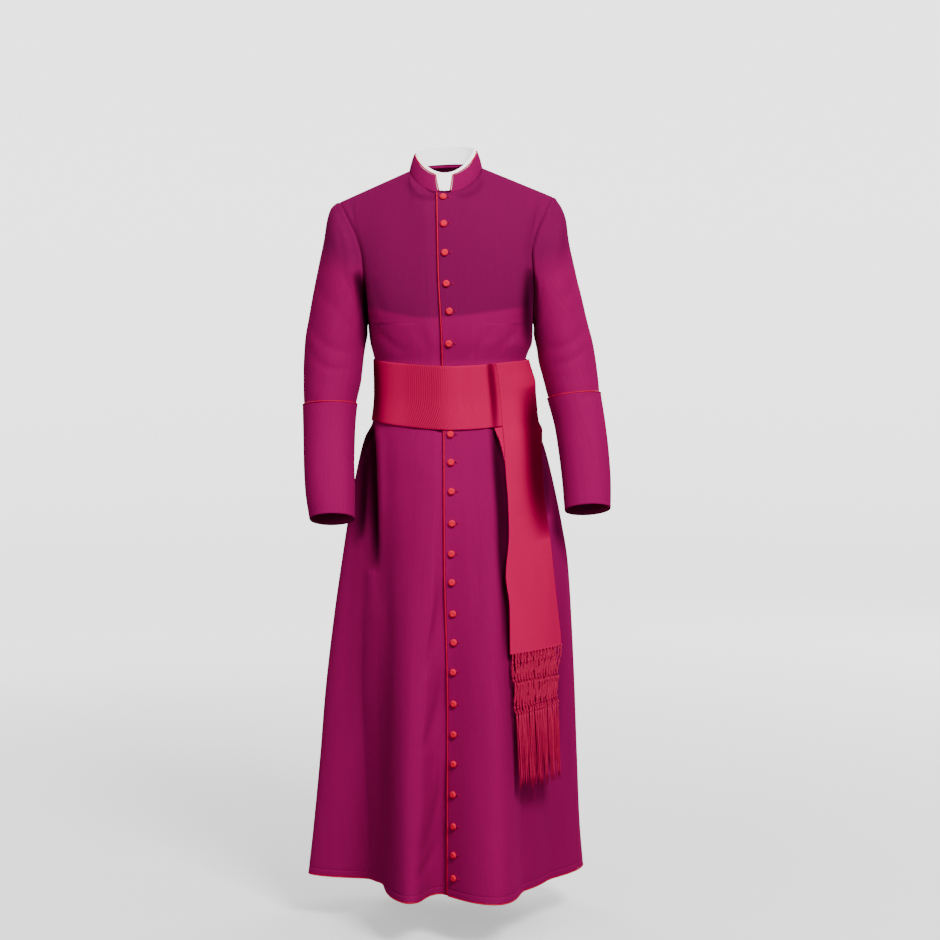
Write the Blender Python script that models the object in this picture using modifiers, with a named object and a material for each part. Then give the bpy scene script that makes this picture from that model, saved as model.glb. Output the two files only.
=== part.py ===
"""Cassock: an ankle-length buttoned robe with a fringed sash, in its worn, hollow form.

Sizes are in millimetres and are scaled to metres when a mesh is made.
+Z is up, +X is the wearer's left and the front faces -Y.  The origin is the
middle of the neck opening, at the height of the collar seam beside the neck.

The body cloth is one surface, body_point(turn, level).  A turn is degrees round
the wearer from centre front, positive to the wearer's left, and a level is a
height.  Every panel, pipe, button and sash piece is read from that surface.
"""
import math
from collections import namedtuple

import bmesh
import bpy
from mathutils import Matrix, Vector
from mathutils.bvhtree import BVHTree

MM = 0.001

# Cloth and seams
CLOTH = 1.6
COLLAR_CLOTH = 2.6
NECKBAND_CLOTH = 1.4
SASH_CLOTH = 1.5
SEAM_GAP = 0.5
SEAM_TURN = 0.15

# Heights of the body
HEM = -1436.0
CHEST = -300.0
YOKE_TOP = 0.0
FLARE_TOP = -480.0
TRUNK_LEVELS = [HEM, -1396, -1300, -1190, -1080, -970, -860, -770, -690,
                -625, -575, -535, -503, -470, -425, -380, -359, -337, CHEST]
YOKE_ROWS = 8

# Columns of each panel, along the neck and along the shoulder
FRONT_NECK_COLUMNS = 7
FRONT_SHOULDER_COLUMNS = 10
BACK_NECK_COLUMNS = 6
BACK_SHOULDER_COLUMNS = 8
UNDERLAP_COLUMNS = 3
SIDE_TURN = 90.0
NECK_TURN = 40.0

# Trunk and skirt: the outline of each level, over the tops of the folds
Section = namedtuple("Section", "level left right front back roundness")
TRUNK = [
    Section(HEM, -286, 294, -218, 330, 2.05),
    Section(-1350, -276, 286, -209, 312, 2.05),
    Section(-1200, -261, 278, -193, 282, 2.1),
    Section(-1050, -248, 271, -178, 250, 2.1),
    Section(-900, -230, 262, -162, 216, 2.1),
    Section(-790, -214, 253, -150, 190, 2.1),
    Section(-700, -200, 237, -141, 166, 2.1),
    Section(-620, -186, 219, -132, 144, 2.1),
    Section(-560, -173, 203, -125, 126, 2.15),
    Section(-530, -164, 192, -121, 117, 2.15),
    Section(-500, -149, 175, -117, 108, 2.2),
    Section(-440, -143, 163, -112, 101, 2.2),
    Section(-376, -144, 161, -112, 101, 2.25),
    Section(-358, -148, 166, -115, 103, 2.3),
    Section(-338, -154, 177, -120, 106, 2.3),
    Section(CHEST, -158, 175, -124, 108, 2.35),
]

# Skirt folds round the body: tops have a depth near nought, hollows a large one
FOLD_EASE = 1.15
Fold = namedtuple("Fold", "turn hem_turn hem_depth starts_at")
FOLDS = [
    Fold(-4, -6, 92, -640),
    Fold(26, 22, 0, -560),
    Fold(50, 46, 66, -500),
    Fold(70, 68, 72, -500),
    Fold(100, 104, 0, -500),
    Fold(111, 116, 3, -500),
    Fold(124, 127, 47, -560),
    Fold(138, 139, 3, -560),
    Fold(147, 148, 6, -560),
    Fold(161, 160, 61, -620),
    Fold(174, 173, 9, -620),
    Fold(184, 185, 4, -620),
    Fold(199, 199, 49, -600),
    Fold(213, 213, 5, -560),
    Fold(223, 224, 1, -560),
    Fold(240, 240, 54, -540),
    Fold(255, 256, 9, -500),
    Fold(265, 265, 4, -500),
    Fold(274, 273, 0, -500),
    Fold(290, 292, 116, -490),
    Fold(301, 304, 120, -490),
    Fold(332, 342, 16, -560),
    Fold(342, 346, 26, -600),
    Fold(350, 349.5, 80, -640),
]

# Neck, shoulders and armholes
NECK_HALF_WIDTH = 73.0
NECK_FRONT = -68.0
NECK_BACK = 62.0
NECK_FRONT_DROP = -41.0
NECK_BACK_RISE = 16.0
NECK_SIDE_HEIGHT = 8.0
NECK_ROLL = 3.0
NECK_CURVE = 1.4
SHOULDER_TIP_RIGHT = Vector((-215.0, 4.0, -58.0))
SHOULDER_TIP_LEFT = Vector((217.0, 4.0, -47.0))
SHOULDER_SEAM_GAP = 1.9
ARMHOLE_FRONT_BOW = 66.0
ARMHOLE_BACK_BOW = 60.0
ARMHOLE_MIDDLE = -3.0
ARMHOLE_HALF_DEPTH = 70.0
ARMHOLE_INSET = 7.0
ARMHOLE_GAP = 1.1
YOKE_ROLL = 2.1
YOKE_SPREAD = 1.5

# Front closing
Station = namedtuple("Station", "level x")
FRONT_EDGE = [
    Station(HEM, 3), Station(-1268, 4), Station(-1060, 5), Station(-900, 2),
    Station(-780, -1), Station(-540, -2), Station(-356, -5.5), Station(-176, -13),
    Station(YOKE_TOP, -16),
]
UNDERLAP_TURN = 13.0
UNDERLAP_DROP = 4.6
UNDERLAP_RAMP = 11.0
UNDERLAP_CLEAR = 2.5
PIPE_RADIUS = 1.6
PIPE_GAP = 0.4
COLLAR_PIPE_RADIUS = 1.3

# Buttons, from the top one down: height and distance from the centre line
BUTTON_RADIUS = 7.3
BUTTON_HEIGHT = 5.4
BUTTON_RIM = 0.28
BUTTON_SEAT = 0.5
Button = namedtuple("Button", "height x")
BUTTONS = [
    Button(-51, -5), Button(-104, -4), Button(-161, -2), Button(-222, 1), Button(-276, 7),
    Button(-340, 6), Button(-519, 9), Button(-574, 10), Button(-631, 11), Button(-694, 12),
    Button(-754, 11), Button(-811, 12), Button(-873, 14), Button(-930, 16), Button(-989, 15),
    Button(-1052, 16), Button(-1113, 16), Button(-1172, 16), Button(-1233, 15),
    Button(-1296, 16), Button(-1353, 16), Button(-1399, 16),
]

# Collar
COLLAR_HEIGHT = 31.0
COLLAR_LEAN = 9.0
COLLAR_LAP = 0.2
COLLAR_SEAT = 1.1
COLLAR_PIPE_FOOT = 0.05
COLLAR_PIPE_SPREAD = 1.15
COLLAR_COLUMNS = 26
NOTCH_RIGHT = {"seam": -12.0, "top": -20.0}
NOTCH_LEFT = {"seam": 8.0, "top": 14.0}
NECKBAND_SHOWS = 8.0
NECKBAND_COLUMNS = 24
NECKBAND_GAP = 1.0
NECKBAND_FOOT = 3.0

# Sleeves: each ring's outer and inner point, its middle, half depth and tilt
Ring = namedtuple("Ring", "outer_x outer_z inner_x inner_z middle_y half_depth tilt")
LEFT_SLEEVE = [
    Ring(232, -66, 180, -306, -4, 72, 0),
    Ring(242, -92, 181, -314, -4, 73, 0),
    Ring(248, -135, 182, -322, -3, 73, 0),
    Ring(258, -182, 183, -331, -3, 72, 0),
    Ring(271, -235, 184, -342, -2, 71, 0),
    Ring(284, -290, 186, -356, -2, 70, 0),
    Ring(298, -345, 190, -378, -3, 68, 2),
    Ring(306, -398, 199, -410, -6, 65, 6),
    Ring(311, -444, 210, -455, -14, 61, 10),
    Ring(319, -502, 223, -508, -29, 56, 16),
    Ring(325, -560, 231, -562, -47, 52, 19),
    Ring(328, -618, 236, -618, -65, 48, 20),
    Ring(327, -670, 240, -674, -82, 44, 20),
]
RIGHT_SLEEVE = [
    Ring(230, -68, 163.5, -306, -4, 72, 0),
    Ring(239, -92, 165.5, -314, -4, 73, 0),
    Ring(245, -130, 168, -322, -3, 73, 0),
    Ring(255, -178, 170, -331, -3, 72, 0),
    Ring(266, -230, 173, -342, -2, 71, 0),
    Ring(276, -285, 175, -356, -2, 70, 0),
    Ring(285, -340, 175, -380, -3, 68, 2),
    Ring(288, -405, 177, -416, -6, 65, 6),
    Ring(287, -468, 186, -466, -14, 61, 10),
    Ring(285, -524, 188, -520, -29, 56, 16),
    Ring(283, -582, 186, -578, -47, 52, 19),
    Ring(279, -638, 184, -634, -65, 48, 20),
    Ring(270, -692, 184, -690, -82, 44, 21),
]
SLEEVE_COLUMNS = 2 * YOKE_ROWS
CUFF_TOP_RING = 8
CUFF_LIFT = 2.3
SLEEVE_END_STOP = 4.0
CAP_BLEND = [0.55, 0.28, 0.12]

# Sash
SASH_LIFT = 3.3
SASH_TOP = -373.0
SASH_TOP_DIP = 11.0
SASH_BOTTOM = -496.0
SASH_BOTTOM_DIP = 15.0
SASH_DIP_CURVE = 1.5
SASH_ROWS = 3
SASH_COLUMNS = 48
FALL_LIFT = 5.5
FALL_WIDTH = 130.0
FALL_COLUMNS = 8
FALL_ROWS = 14
FALL_END = -953.0
REAR_FALL_END = -912.0
REAR_FALL_ROWS = 9
FallEdge = namedtuple("FallEdge", "level left_x right_x stand_off")
FRONT_FALL = [
    FallEdge(-1212, 144, 227, 0), FallEdge(-1100, 138, 223, 0), FallEdge(-1000, 131, 222, 0),
    FallEdge(FALL_END, 125, 228, 0), FallEdge(-860, 124, 219, 0), FallEdge(-797, 117, 212, 0),
    FallEdge(-718, 123, 204, 0), FallEdge(-650, 121, 196, 1), FallEdge(-600, 117, 192, 3),
    FallEdge(-540, 114, 186, 8), FallEdge(-500, 110, 183, 12), FallEdge(-460, 107, 181, 16),
    FallEdge(-420, 103, 180, 14), FallEdge(-390, 99, 176, 6), FallEdge(-370, 94, 164, 0),
]
REAR_FALL = [
    FallEdge(-1212, 150, 222, 0), FallEdge(REAR_FALL_END, 136, 214, 0),
    FallEdge(-700, 128, 198, 0), FallEdge(-580, 116, 188, 3), FallEdge(-535, 106, 184, 6),
    FallEdge(-510, 96, 178, 4), FallEdge(-500, 94, 174, 0),
]

# Fringe
TUFTS = 18
STRIP_HEIGHT = 5.0
TUFT_LENGTH = 9.0
KNOT_WIDTH = 4.8
KNOT_HEIGHT = 4.0
KNOT_LEVELS = [-1006.0, -1057.0]
FRINGE_END = -1211.0
FRINGE_DEPTH = 1.8
FREE_ROWS = 2
REAR_LOCKS = 20
REAR_LOCK_WIDTH = 3.2
REAR_FRINGE_END = -1165.0

COLOURS = {
    "cloth": ((0.285, 0.012, 0.110, 1.0), 0.85),
    "piping": ((0.48, 0.02, 0.07, 1.0), 0.6),
    "silk": ((0.62, 0.008, 0.110, 1.0), 0.42),
    "button": ((0.60, 0.025, 0.06, 1.0), 0.5),
    "linen": ((0.88, 0.88, 0.86, 1.0), 0.7),
}


def smooth(stations, values, at):
    """Value at a place on a curve through the stations, with no overshoot."""
    last = len(stations) - 1
    if at <= stations[0]:
        return values[0]
    if at >= stations[last]:
        return values[last]
    i = max(k for k in range(last) if stations[k] <= at)
    steps = [stations[k + 1] - stations[k] for k in range(last)]
    slopes = [(values[k + 1] - values[k]) / steps[k] for k in range(last)]

    def tangent(k):
        if k == 0:
            return slopes[0]
        if k == last:
            return slopes[last - 1]
        before, after = slopes[k - 1], slopes[k]
        return 2 * before * after / (before + after) if before * after > 0 else 0.0

    u = (at - stations[i]) / steps[i]
    ease = u * u * (3 - 2 * u)
    lean_in = u * (1 - u) * (1 - u) * steps[i] * tangent(i)
    lean_out = u * u * (u - 1) * steps[i] * tangent(i + 1)
    return values[i] + (values[i + 1] - values[i]) * ease + lean_in + lean_out


def column(table, name):
    """One named column of a table, as a list."""
    return [getattr(row, name) for row in table]


def mix(a, b, share):
    return a + (b - a) * share


def share_between(value, low, high):
    return min(1.0, max(0.0, (value - low) / (high - low)))


def wrapped(turn):
    """The same turn between -180 and 180."""
    return (turn + 180.0) % 360.0 - 180.0


def fold_reading(turn, name, level=None):
    """A fold column read round the body; the hem depth is scaled to the level."""
    spots = []
    values = []
    for lap in (-360.0, 0.0, 360.0):
        for fold in FOLDS:
            value = getattr(fold, name)
            if name == "hem_depth":
                value *= share_between(fold.starts_at - level, 0.0, fold.starts_at - HEM) ** FOLD_EASE
            else:
                value += lap
            spots.append(fold.turn + lap)
            values.append(value)
    return smooth(spots, values, turn % 360.0)


def trunk_point(turn, level, folded=True):
    """Point of the trunk or skirt cloth."""
    levels = column(TRUNK, "level")
    size = {name: smooth(levels, column(TRUNK, name), level)
            for name in ("left", "right", "front", "back", "roundness")}
    fall = share_between(FLARE_TOP - level, 0.0, FLARE_TOP - HEM)
    spread = fold_reading(turn, "hem_turn") - turn % 360.0
    angle = math.radians(turn + spread * fall)
    half_width = (size["right"] - size["left"]) / 2
    half_depth = (size["back"] - size["front"]) / 2
    across = abs(math.sin(angle)) / half_width
    along = abs(math.cos(angle)) / half_depth
    radius = (across ** size["roundness"] + along ** size["roundness"]) ** (-1 / size["roundness"])
    if folded and level < FLARE_TOP:
        radius -= fold_reading(turn, "hem_depth", level)
    return Vector(((size["left"] + size["right"]) / 2 + radius * math.sin(angle),
                   (size["front"] + size["back"]) / 2 - radius * math.cos(angle),
                   level))


def neck_point(angle):
    """Point of the neck seam, with the angle in degrees from centre front."""
    side = math.sin(math.radians(angle))
    along = math.cos(math.radians(angle))
    if along >= 0:
        depth, height = NECK_FRONT * along, NECK_FRONT_DROP - NECK_SIDE_HEIGHT
    else:
        depth, height = -NECK_BACK * along, NECK_BACK_RISE - NECK_SIDE_HEIGHT
    height = NECK_SIDE_HEIGHT + NECK_ROLL * side + height * abs(along) ** NECK_CURVE
    return Vector((NECK_HALF_WIDTH * side, depth, height))


def yoke_top_point(turn):
    """Upper edge of the body cloth: the neck seam, then the shoulder seam."""
    turn = wrapped(turn)
    sign = 1.0 if turn >= 0 else -1.0
    front = abs(turn) < SIDE_TURN
    reach = abs(turn) if front else 180.0 - abs(turn)
    if reach < NECK_TURN - 1e-6:
        angle = 90.0 * reach / NECK_TURN
        return neck_point(sign * (angle if front else 180.0 - angle))
    tip = SHOULDER_TIP_LEFT if sign > 0 else SHOULDER_TIP_RIGHT
    share = (reach - NECK_TURN) / (SIDE_TURN - NECK_TURN)
    point = neck_point(sign * 90.0).lerp(tip, share)
    point.y += -SHOULDER_SEAM_GAP / 2 if front else SHOULDER_SEAM_GAP / 2
    return point


def yoke_point(turn, share):
    """Point between the chest ring (share 0) and the neck or shoulder seam (share 1)."""
    low = trunk_point(turn, CHEST)
    high = yoke_top_point(turn)
    turn = wrapped(turn)
    sign = 1.0 if turn >= 0 else -1.0
    front = abs(turn) < SIDE_TURN
    reach = abs(turn) if front else 180.0 - abs(turn)
    hold = (1 - min(1.0, share) ** YOKE_ROLL) ** (1 / YOKE_ROLL)
    bow = 2 * math.sqrt(max(0.0, share * (1 - share))) * (reach / SIDE_TURN) ** 3
    point = low.lerp(high, share)
    point.x = mix(low.x, high.x, share ** YOKE_SPREAD)
    point.y = mix(high.y, low.y, hold)
    point.y += bow * (-ARMHOLE_FRONT_BOW if front else ARMHOLE_BACK_BOW)
    point.x -= sign * bow * ARMHOLE_INSET
    return point


def body_point(turn, level, folded=True):
    """Point of the body cloth's outer face."""
    if level <= CHEST:
        return trunk_point(turn, level, folded)
    return yoke_point(turn, share_between(level, CHEST, YOKE_TOP))


def lifted(turn, level, lift, folded=True):
    """Body point moved out along the cloth's own normal."""
    step = 1.0
    low = max(HEM, level - step)
    high = min(YOKE_TOP - 1e-6, level + step)
    round_body = body_point(turn + step, level, folded) - body_point(turn - step, level, folded)
    up_body = body_point(turn, high, folded) - body_point(turn, low, folded)
    return body_point(turn, level, folded) + round_body.cross(up_body).normalized() * lift


def turn_at(x, level, low=-30.0, high=88.0, folded=True):
    """Turn at which the body cloth passes through x on its front."""
    for _ in range(40):
        middle = (low + high) / 2
        if body_point(middle, level, folded).x < x:
            low = middle
        else:
            high = middle
    return (low + high) / 2


def edge_turn(level):
    """Turn of the left front's edge."""
    x = smooth(column(FRONT_EDGE, "level"), column(FRONT_EDGE, "x"), level)
    return turn_at(x, level)


def body_levels():
    """Levels of the body's rows, from the hem up to the neck and shoulder seams."""
    rows = []
    for row in range(1, YOKE_ROWS + 1):
        share = (1 - math.cos(math.pi * row / YOKE_ROWS)) / 2
        rows.append(mix(CHEST, YOKE_TOP, share))
    return TRUNK_LEVELS + rows


def add_object(name, mesh, finish, group):
    """Object with its own Principled material."""
    colour, roughness = COLOURS[finish]
    material = bpy.data.materials.new(name)
    material.use_nodes = True
    shader = material.node_tree.nodes["Principled BSDF"]
    shader.inputs["Base Color"].default_value = colour
    shader.inputs["Roughness"].default_value = roughness
    shader.inputs["Metallic"].default_value = 0.0
    material.diffuse_color = colour
    mesh.materials.append(material)
    piece = bpy.data.objects.new(name, mesh)
    group.objects.link(piece)
    return piece


def grid_mesh(name, rows, closed=False):
    """Open mesh of quads through rows of points; a closed grid joins its ends."""
    mesh = bpy.data.meshes.new(name)
    build = bmesh.new()
    lines = [[build.verts.new(point * MM) for point in row] for row in rows]
    for below, above in zip(lines, lines[1:]):
        count = len(below)
        for i in range(count if closed else count - 1):
            j = (i + 1) % count
            build.faces.new((below[i], below[j], above[j], above[i]))
    for face in build.faces:
        face.smooth = True
    build.to_mesh(mesh)
    build.free()
    return mesh


def add_wall(name, rows, finish, group, thickness=CLOTH, closed=False):
    """Cloth wall whose outer face passes through the rows of points."""
    piece = add_object(name, grid_mesh(name, rows, closed), finish, group)
    wall = piece.modifiers.new("Cloth", "SOLIDIFY")
    wall.thickness = thickness * MM
    wall.offset = -1.0
    return piece


def add_pipe(name, points, radius, finish, group, closed=False):
    """Round cord along a line of points."""
    curve = bpy.data.curves.new(name, "CURVE")
    curve.dimensions = "3D"
    curve.bevel_depth = radius * MM
    curve.bevel_resolution = 1
    curve.use_fill_caps = not closed
    spline = curve.splines.new("POLY")
    spline.points.add(len(points) - 1)
    for knot, point in zip(spline.points, points):
        knot.co = (*(point * MM), 1.0)
    spline.use_cyclic_u = closed
    return add_object(name, curve, finish, group)


def spaced(start, end, count):
    """Evenly spaced values, both ends included."""
    return [mix(start, end, i / count) for i in range(count + 1)]


def underlap_lift(turn, level):
    """How far the right front drops as it runs under the left front."""
    edge = edge_turn(level)
    share = share_between(turn, edge - UNDERLAP_RAMP, edge - UNDERLAP_CLEAR)
    return -UNDERLAP_DROP * share * share * (3 - 2 * share)


def build_fronts(group):
    """Left front over right front, both from hem to neck and shoulder."""
    left_rows = []
    right_rows = []
    for level in body_levels():
        edge = edge_turn(level)
        left = spaced(edge, NECK_TURN, FRONT_NECK_COLUMNS)
        left += spaced(NECK_TURN, SIDE_TURN - SEAM_TURN, FRONT_SHOULDER_COLUMNS)[1:]
        left_rows.append([body_point(turn, level) for turn in left])
        right = spaced(SEAM_TURN - SIDE_TURN, -NECK_TURN, FRONT_SHOULDER_COLUMNS)
        right += spaced(-NECK_TURN, edge - UNDERLAP_CLEAR, FRONT_NECK_COLUMNS - 1)[1:]
        right += spaced(edge - UNDERLAP_CLEAR, edge + UNDERLAP_TURN, UNDERLAP_COLUMNS)[1:]
        right_rows.append([lifted(turn, level, underlap_lift(turn, level)) for turn in right])
    add_wall("front_right", right_rows, "cloth", group)
    return add_wall("front_left", left_rows, "cloth", group)


def build_back(group):
    """Back panel from side seam to side seam."""
    half = spaced(SIDE_TURN + SEAM_TURN, 180.0 - NECK_TURN, BACK_SHOULDER_COLUMNS)
    half += spaced(180.0 - NECK_TURN, 180.0, BACK_NECK_COLUMNS)[1:]
    turns = half + [360.0 - turn for turn in reversed(half[:-1])]
    rows = [[body_point(turn, level) for turn in turns] for level in body_levels()]
    add_wall("back", rows, "cloth", group)


def armhole_loop(sign):
    """Armhole seam from the shoulder tip round by the front, as sleeve columns."""
    loop = []
    for i in range(SLEEVE_COLUMNS):
        angle = 2 * math.pi * i / SLEEVE_COLUMNS
        level = mix(CHEST, YOKE_TOP, (1 + math.cos(angle)) / 2)
        front = body_point(sign * (SIDE_TURN - SEAM_TURN), level)
        back = body_point(sign * (SIDE_TURN + SEAM_TURN), level)
        if i in (0, SLEEVE_COLUMNS // 2):
            point = front.lerp(back, 0.5)
        else:
            point = front if angle < math.pi else back
        loop.append(point + Vector((sign * ARMHOLE_GAP, 0, 0)))
    return loop


def ring_points(ring, sign, lift=0.0):
    """Points round one sleeve ring, from its outer point round by the front."""
    outer = Vector((sign * ring.outer_x, ring.middle_y, ring.outer_z))
    inner = Vector((sign * ring.inner_x, ring.middle_y, ring.inner_z))
    middle = (outer + inner) / 2
    across = (outer - inner) / 2
    across += across.normalized() * lift
    tilt = math.radians(ring.tilt)
    along = Vector((0, -math.cos(tilt), math.sin(tilt))) * (ring.half_depth + lift)
    angles = [2 * math.pi * i / SLEEVE_COLUMNS for i in range(SLEEVE_COLUMNS)]
    return [middle + across * math.cos(a) + along * math.sin(a) for a in angles]


def facing_out(loop, sign):
    """Ring order that turns the wall's face outwards on either side."""
    return list(reversed(loop)) if sign > 0 else loop


def sleeve_rows(rings, sign):
    """Sleeve rings from the armhole down, the first ones still shaped by the armhole."""
    armhole = armhole_loop(sign)
    rows = [armhole]
    flat = Ring(armhole[0].x * sign, armhole[0].z, armhole[SLEEVE_COLUMNS // 2].x * sign,
                armhole[SLEEVE_COLUMNS // 2].z, ARMHOLE_MIDDLE, ARMHOLE_HALF_DEPTH, 0)
    shape = [a - b for a, b in zip(armhole, ring_points(flat, sign))]
    for ring, blend in zip(rings, CAP_BLEND + [0.0] * len(rings)):
        rows.append([point + bend * blend for point, bend in zip(ring_points(ring, sign), shape)])
    return rows


def build_sleeve(side, rings, sign, group):
    """Sleeve, its turned-back cuff and the cord on the cuff's upper edge."""
    rows = sleeve_rows(rings, sign)
    end = [point + (above - point).normalized() * SLEEVE_END_STOP
           for point, above in zip(rows[-1], rows[-2])]
    rows[-1] = end
    add_wall("sleeve_" + side, [facing_out(row, sign) for row in reversed(rows)], "cloth",
             group, closed=True)
    cuff = [ring_points(ring, sign, CUFF_LIFT) for ring in rings[CUFF_TOP_RING:]]
    add_wall("cuff_" + side, [facing_out(row, sign) for row in reversed(cuff)], "cloth",
             group, closed=True)
    upper = ring_points(rings[CUFF_TOP_RING], sign, PIPE_RADIUS + 2 * PIPE_GAP)
    rise = (rows[CUFF_TOP_RING][0] - rows[CUFF_TOP_RING + 1][0]).normalized()
    cord = [point + rise * (PIPE_RADIUS + PIPE_GAP) for point in upper]
    add_pipe("piping_cuff_" + side, cord, PIPE_RADIUS, "piping", group, closed=True)


def collar_point(angle, height, inset=0.0):
    """Point of the collar's outer face at a height above the neck seam."""
    point = neck_point(angle)
    radial = Vector((point.x, point.y, 0)).normalized()
    lean = COLLAR_LEAN * height / COLLAR_HEIGHT
    return point + radial * (COLLAR_LAP - lean - inset) + Vector((0, 0, height + COLLAR_SEAT))


def collar_angles(share):
    """Angles of the collar's columns at a share of its height, from notch to notch."""
    start = mix(NOTCH_LEFT["seam"], NOTCH_LEFT["top"], share)
    end = 360.0 + mix(NOTCH_RIGHT["seam"], NOTCH_RIGHT["top"], share)
    return spaced(start, end, COLLAR_COLUMNS)


def build_collar(group):
    """Standing collar, the cord on its edges and the white band inside it."""
    shares = (0.0, 0.5, 1.0)
    rows = [[collar_point(angle, share * COLLAR_HEIGHT) for angle in collar_angles(share)]
            for share in shares]
    add_wall("collar", rows, "cloth", group, COLLAR_CLOTH)

    off = COLLAR_PIPE_RADIUS + PIPE_GAP
    depth = COLLAR_CLOTH / 2
    aside = math.degrees(COLLAR_PIPE_SPREAD * off / NECK_HALF_WIDTH)
    rises = (COLLAR_PIPE_FOOT, 0.5, 1.0)
    left_end = [(collar_angles(rise)[0] - aside, rise * COLLAR_HEIGHT) for rise in rises]
    right_end = [(collar_angles(rise)[-1] + aside, rise * COLLAR_HEIGHT) for rise in reversed(rises)]
    edge = COLLAR_HEIGHT + off
    along = [(angle, edge) for angle in collar_angles(1.0)]
    route = left_end + [(left_end[-1][0], edge)] + along + [(right_end[0][0], edge)] + right_end
    line = [collar_point(angle, height, depth) for angle, height in route]
    add_pipe("piping_collar", line, COLLAR_PIPE_RADIUS, "piping", group)

    inset = COLLAR_CLOTH + NECKBAND_GAP
    angles = spaced(0.0, 360.0, NECKBAND_COLUMNS)[:-1]
    band = [[collar_point(angle, height, inset) for angle in angles]
            for height in (NECKBAND_FOOT, COLLAR_HEIGHT + NECKBAND_SHOWS)]
    add_wall("neckband", band, "linen", group, NECKBAND_CLOTH, closed=True)


def build_body_piping(group):
    """Cord down the left front's edge and along the hem of each panel."""
    edge = []
    for level in body_levels():
        turn = edge_turn(level)
        point = lifted(turn, level, -CLOTH / 2)
        aside = (lifted(turn - 1.0, level, -CLOTH / 2) - point).normalized()
        edge.append(point + aside * (PIPE_RADIUS + PIPE_GAP))
    edge[0].z += PIPE_RADIUS
    add_pipe("piping_front", edge, PIPE_RADIUS, "piping", group)

    down = Vector((0, 0, -PIPE_RADIUS - PIPE_GAP))
    start = edge_turn(HEM)
    side = SIDE_TURN - 2 * SEAM_TURN
    front_columns = FRONT_NECK_COLUMNS + FRONT_SHOULDER_COLUMNS
    back_columns = 2 * (BACK_NECK_COLUMNS + BACK_SHOULDER_COLUMNS)
    runs = {
        "front_left": spaced(start, side, front_columns),
        "back": spaced(180.0 - side, 180.0 + side, back_columns),
        "front_right": spaced(-side, start + UNDERLAP_TURN, front_columns + UNDERLAP_COLUMNS - 1),
    }
    for panel, turns in runs.items():
        drop = [underlap_lift(turn, HEM) if panel == "front_right" else 0.0 for turn in turns]
        line = [lifted(turn, HEM, lift - CLOTH / 2) + down for turn, lift in zip(turns, drop)]
        add_pipe("piping_hem_" + panel, line, PIPE_RADIUS, "piping", group)


def button_mesh():
    """Cloth-covered button: a dome with a flat back."""
    mesh = bpy.data.meshes.new("button")
    build = bmesh.new()
    bmesh.ops.create_uvsphere(build, u_segments=8, v_segments=4, radius=1.0)
    for vertex in build.verts:
        share = BUTTON_RIM if vertex.co.z < 0 else 1.0 - BUTTON_RIM
        vertex.co.x *= BUTTON_RADIUS * MM
        vertex.co.y *= BUTTON_RADIUS * MM
        vertex.co.z = (vertex.co.z * share + BUTTON_RIM) * BUTTON_HEIGHT * MM
    for face in build.faces:
        face.smooth = True
    build.to_mesh(mesh)
    build.free()
    return mesh


def build_buttons(group, panel):
    """Buttons down the left front, each square to the cloth and just clear of it."""
    cloth = BVHTree.FromObject(panel, bpy.context.evaluated_depsgraph_get())
    for number, button in enumerate(BUTTONS, 1):
        level = button.height
        if level > CHEST:
            top = yoke_top_point(0.0).z
            level = mix(CHEST, YOKE_TOP, share_between(level, CHEST, top))
        turn = turn_at(button.x, level)
        above = lifted(turn, level, 10.0)
        normal = (above - body_point(turn, level)).normalized()
        touch = cloth.ray_cast(above * MM, -normal)[0] / MM
        seat = touch + normal * BUTTON_SEAT
        name = "button_{:02d}".format(number)
        piece = add_object(name, button_mesh(), "button", group)
        spin = normal.to_track_quat("Z", "X").to_matrix().to_4x4()
        piece.matrix_world = Matrix.Translation(seat * MM) @ spin


def sash_edge(turn, side, dip):
    """Height of a sash edge, lower in front than at the sides."""
    return side - dip * max(0.0, math.cos(math.radians(turn))) ** SASH_DIP_CURVE


def build_sash_band(group):
    """Band of the sash round the waist."""
    turns = spaced(0.0, 360.0, SASH_COLUMNS)[:-1]
    rows = []
    for share in spaced(0.0, 1.0, SASH_ROWS):
        row = []
        for turn in turns:
            bottom = sash_edge(turn, SASH_BOTTOM, SASH_BOTTOM_DIP)
            top = sash_edge(turn, SASH_TOP, SASH_TOP_DIP)
            row.append(lifted(turn, mix(bottom, top, share), SASH_LIFT, folded=False))
        rows.append(row)
    add_wall("sash_band", rows, "silk", group, SASH_CLOTH, closed=True)


def fall_turn(edges, across, level):
    """Turn of a place on a sash fall: across runs from its left edge to its right edge."""
    levels = column(edges, "level")
    left = turn_at(smooth(levels, column(edges, "left_x"), level), level, folded=False)
    right = turn_at(smooth(levels, column(edges, "right_x"), level), level, folded=False)
    return mix(left, right, across)


def fall_point(edges, across, level, lift):
    """Point of a sash fall, which stands off the body towards its right edge."""
    lift += across ** 2 * smooth(column(edges, "level"), column(edges, "stand_off"), level)
    return lifted(fall_turn(edges, across, level), level, lift, folded=False)


def fall_rows(edges, rows, bottom, side, dip, lift):
    """Rows of a fall from its lower end up to an edge of the sash band."""
    shares = spaced(0.0, 1.0, FALL_COLUMNS)
    tops = [sash_edge(fall_turn(edges, share, side), side, dip) for share in shares]
    return [[fall_point(edges, share, mix(bottom, top, step), lift)
             for share, top in zip(shares, tops)] for step in spaced(0.0, 1.0, rows)]


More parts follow.
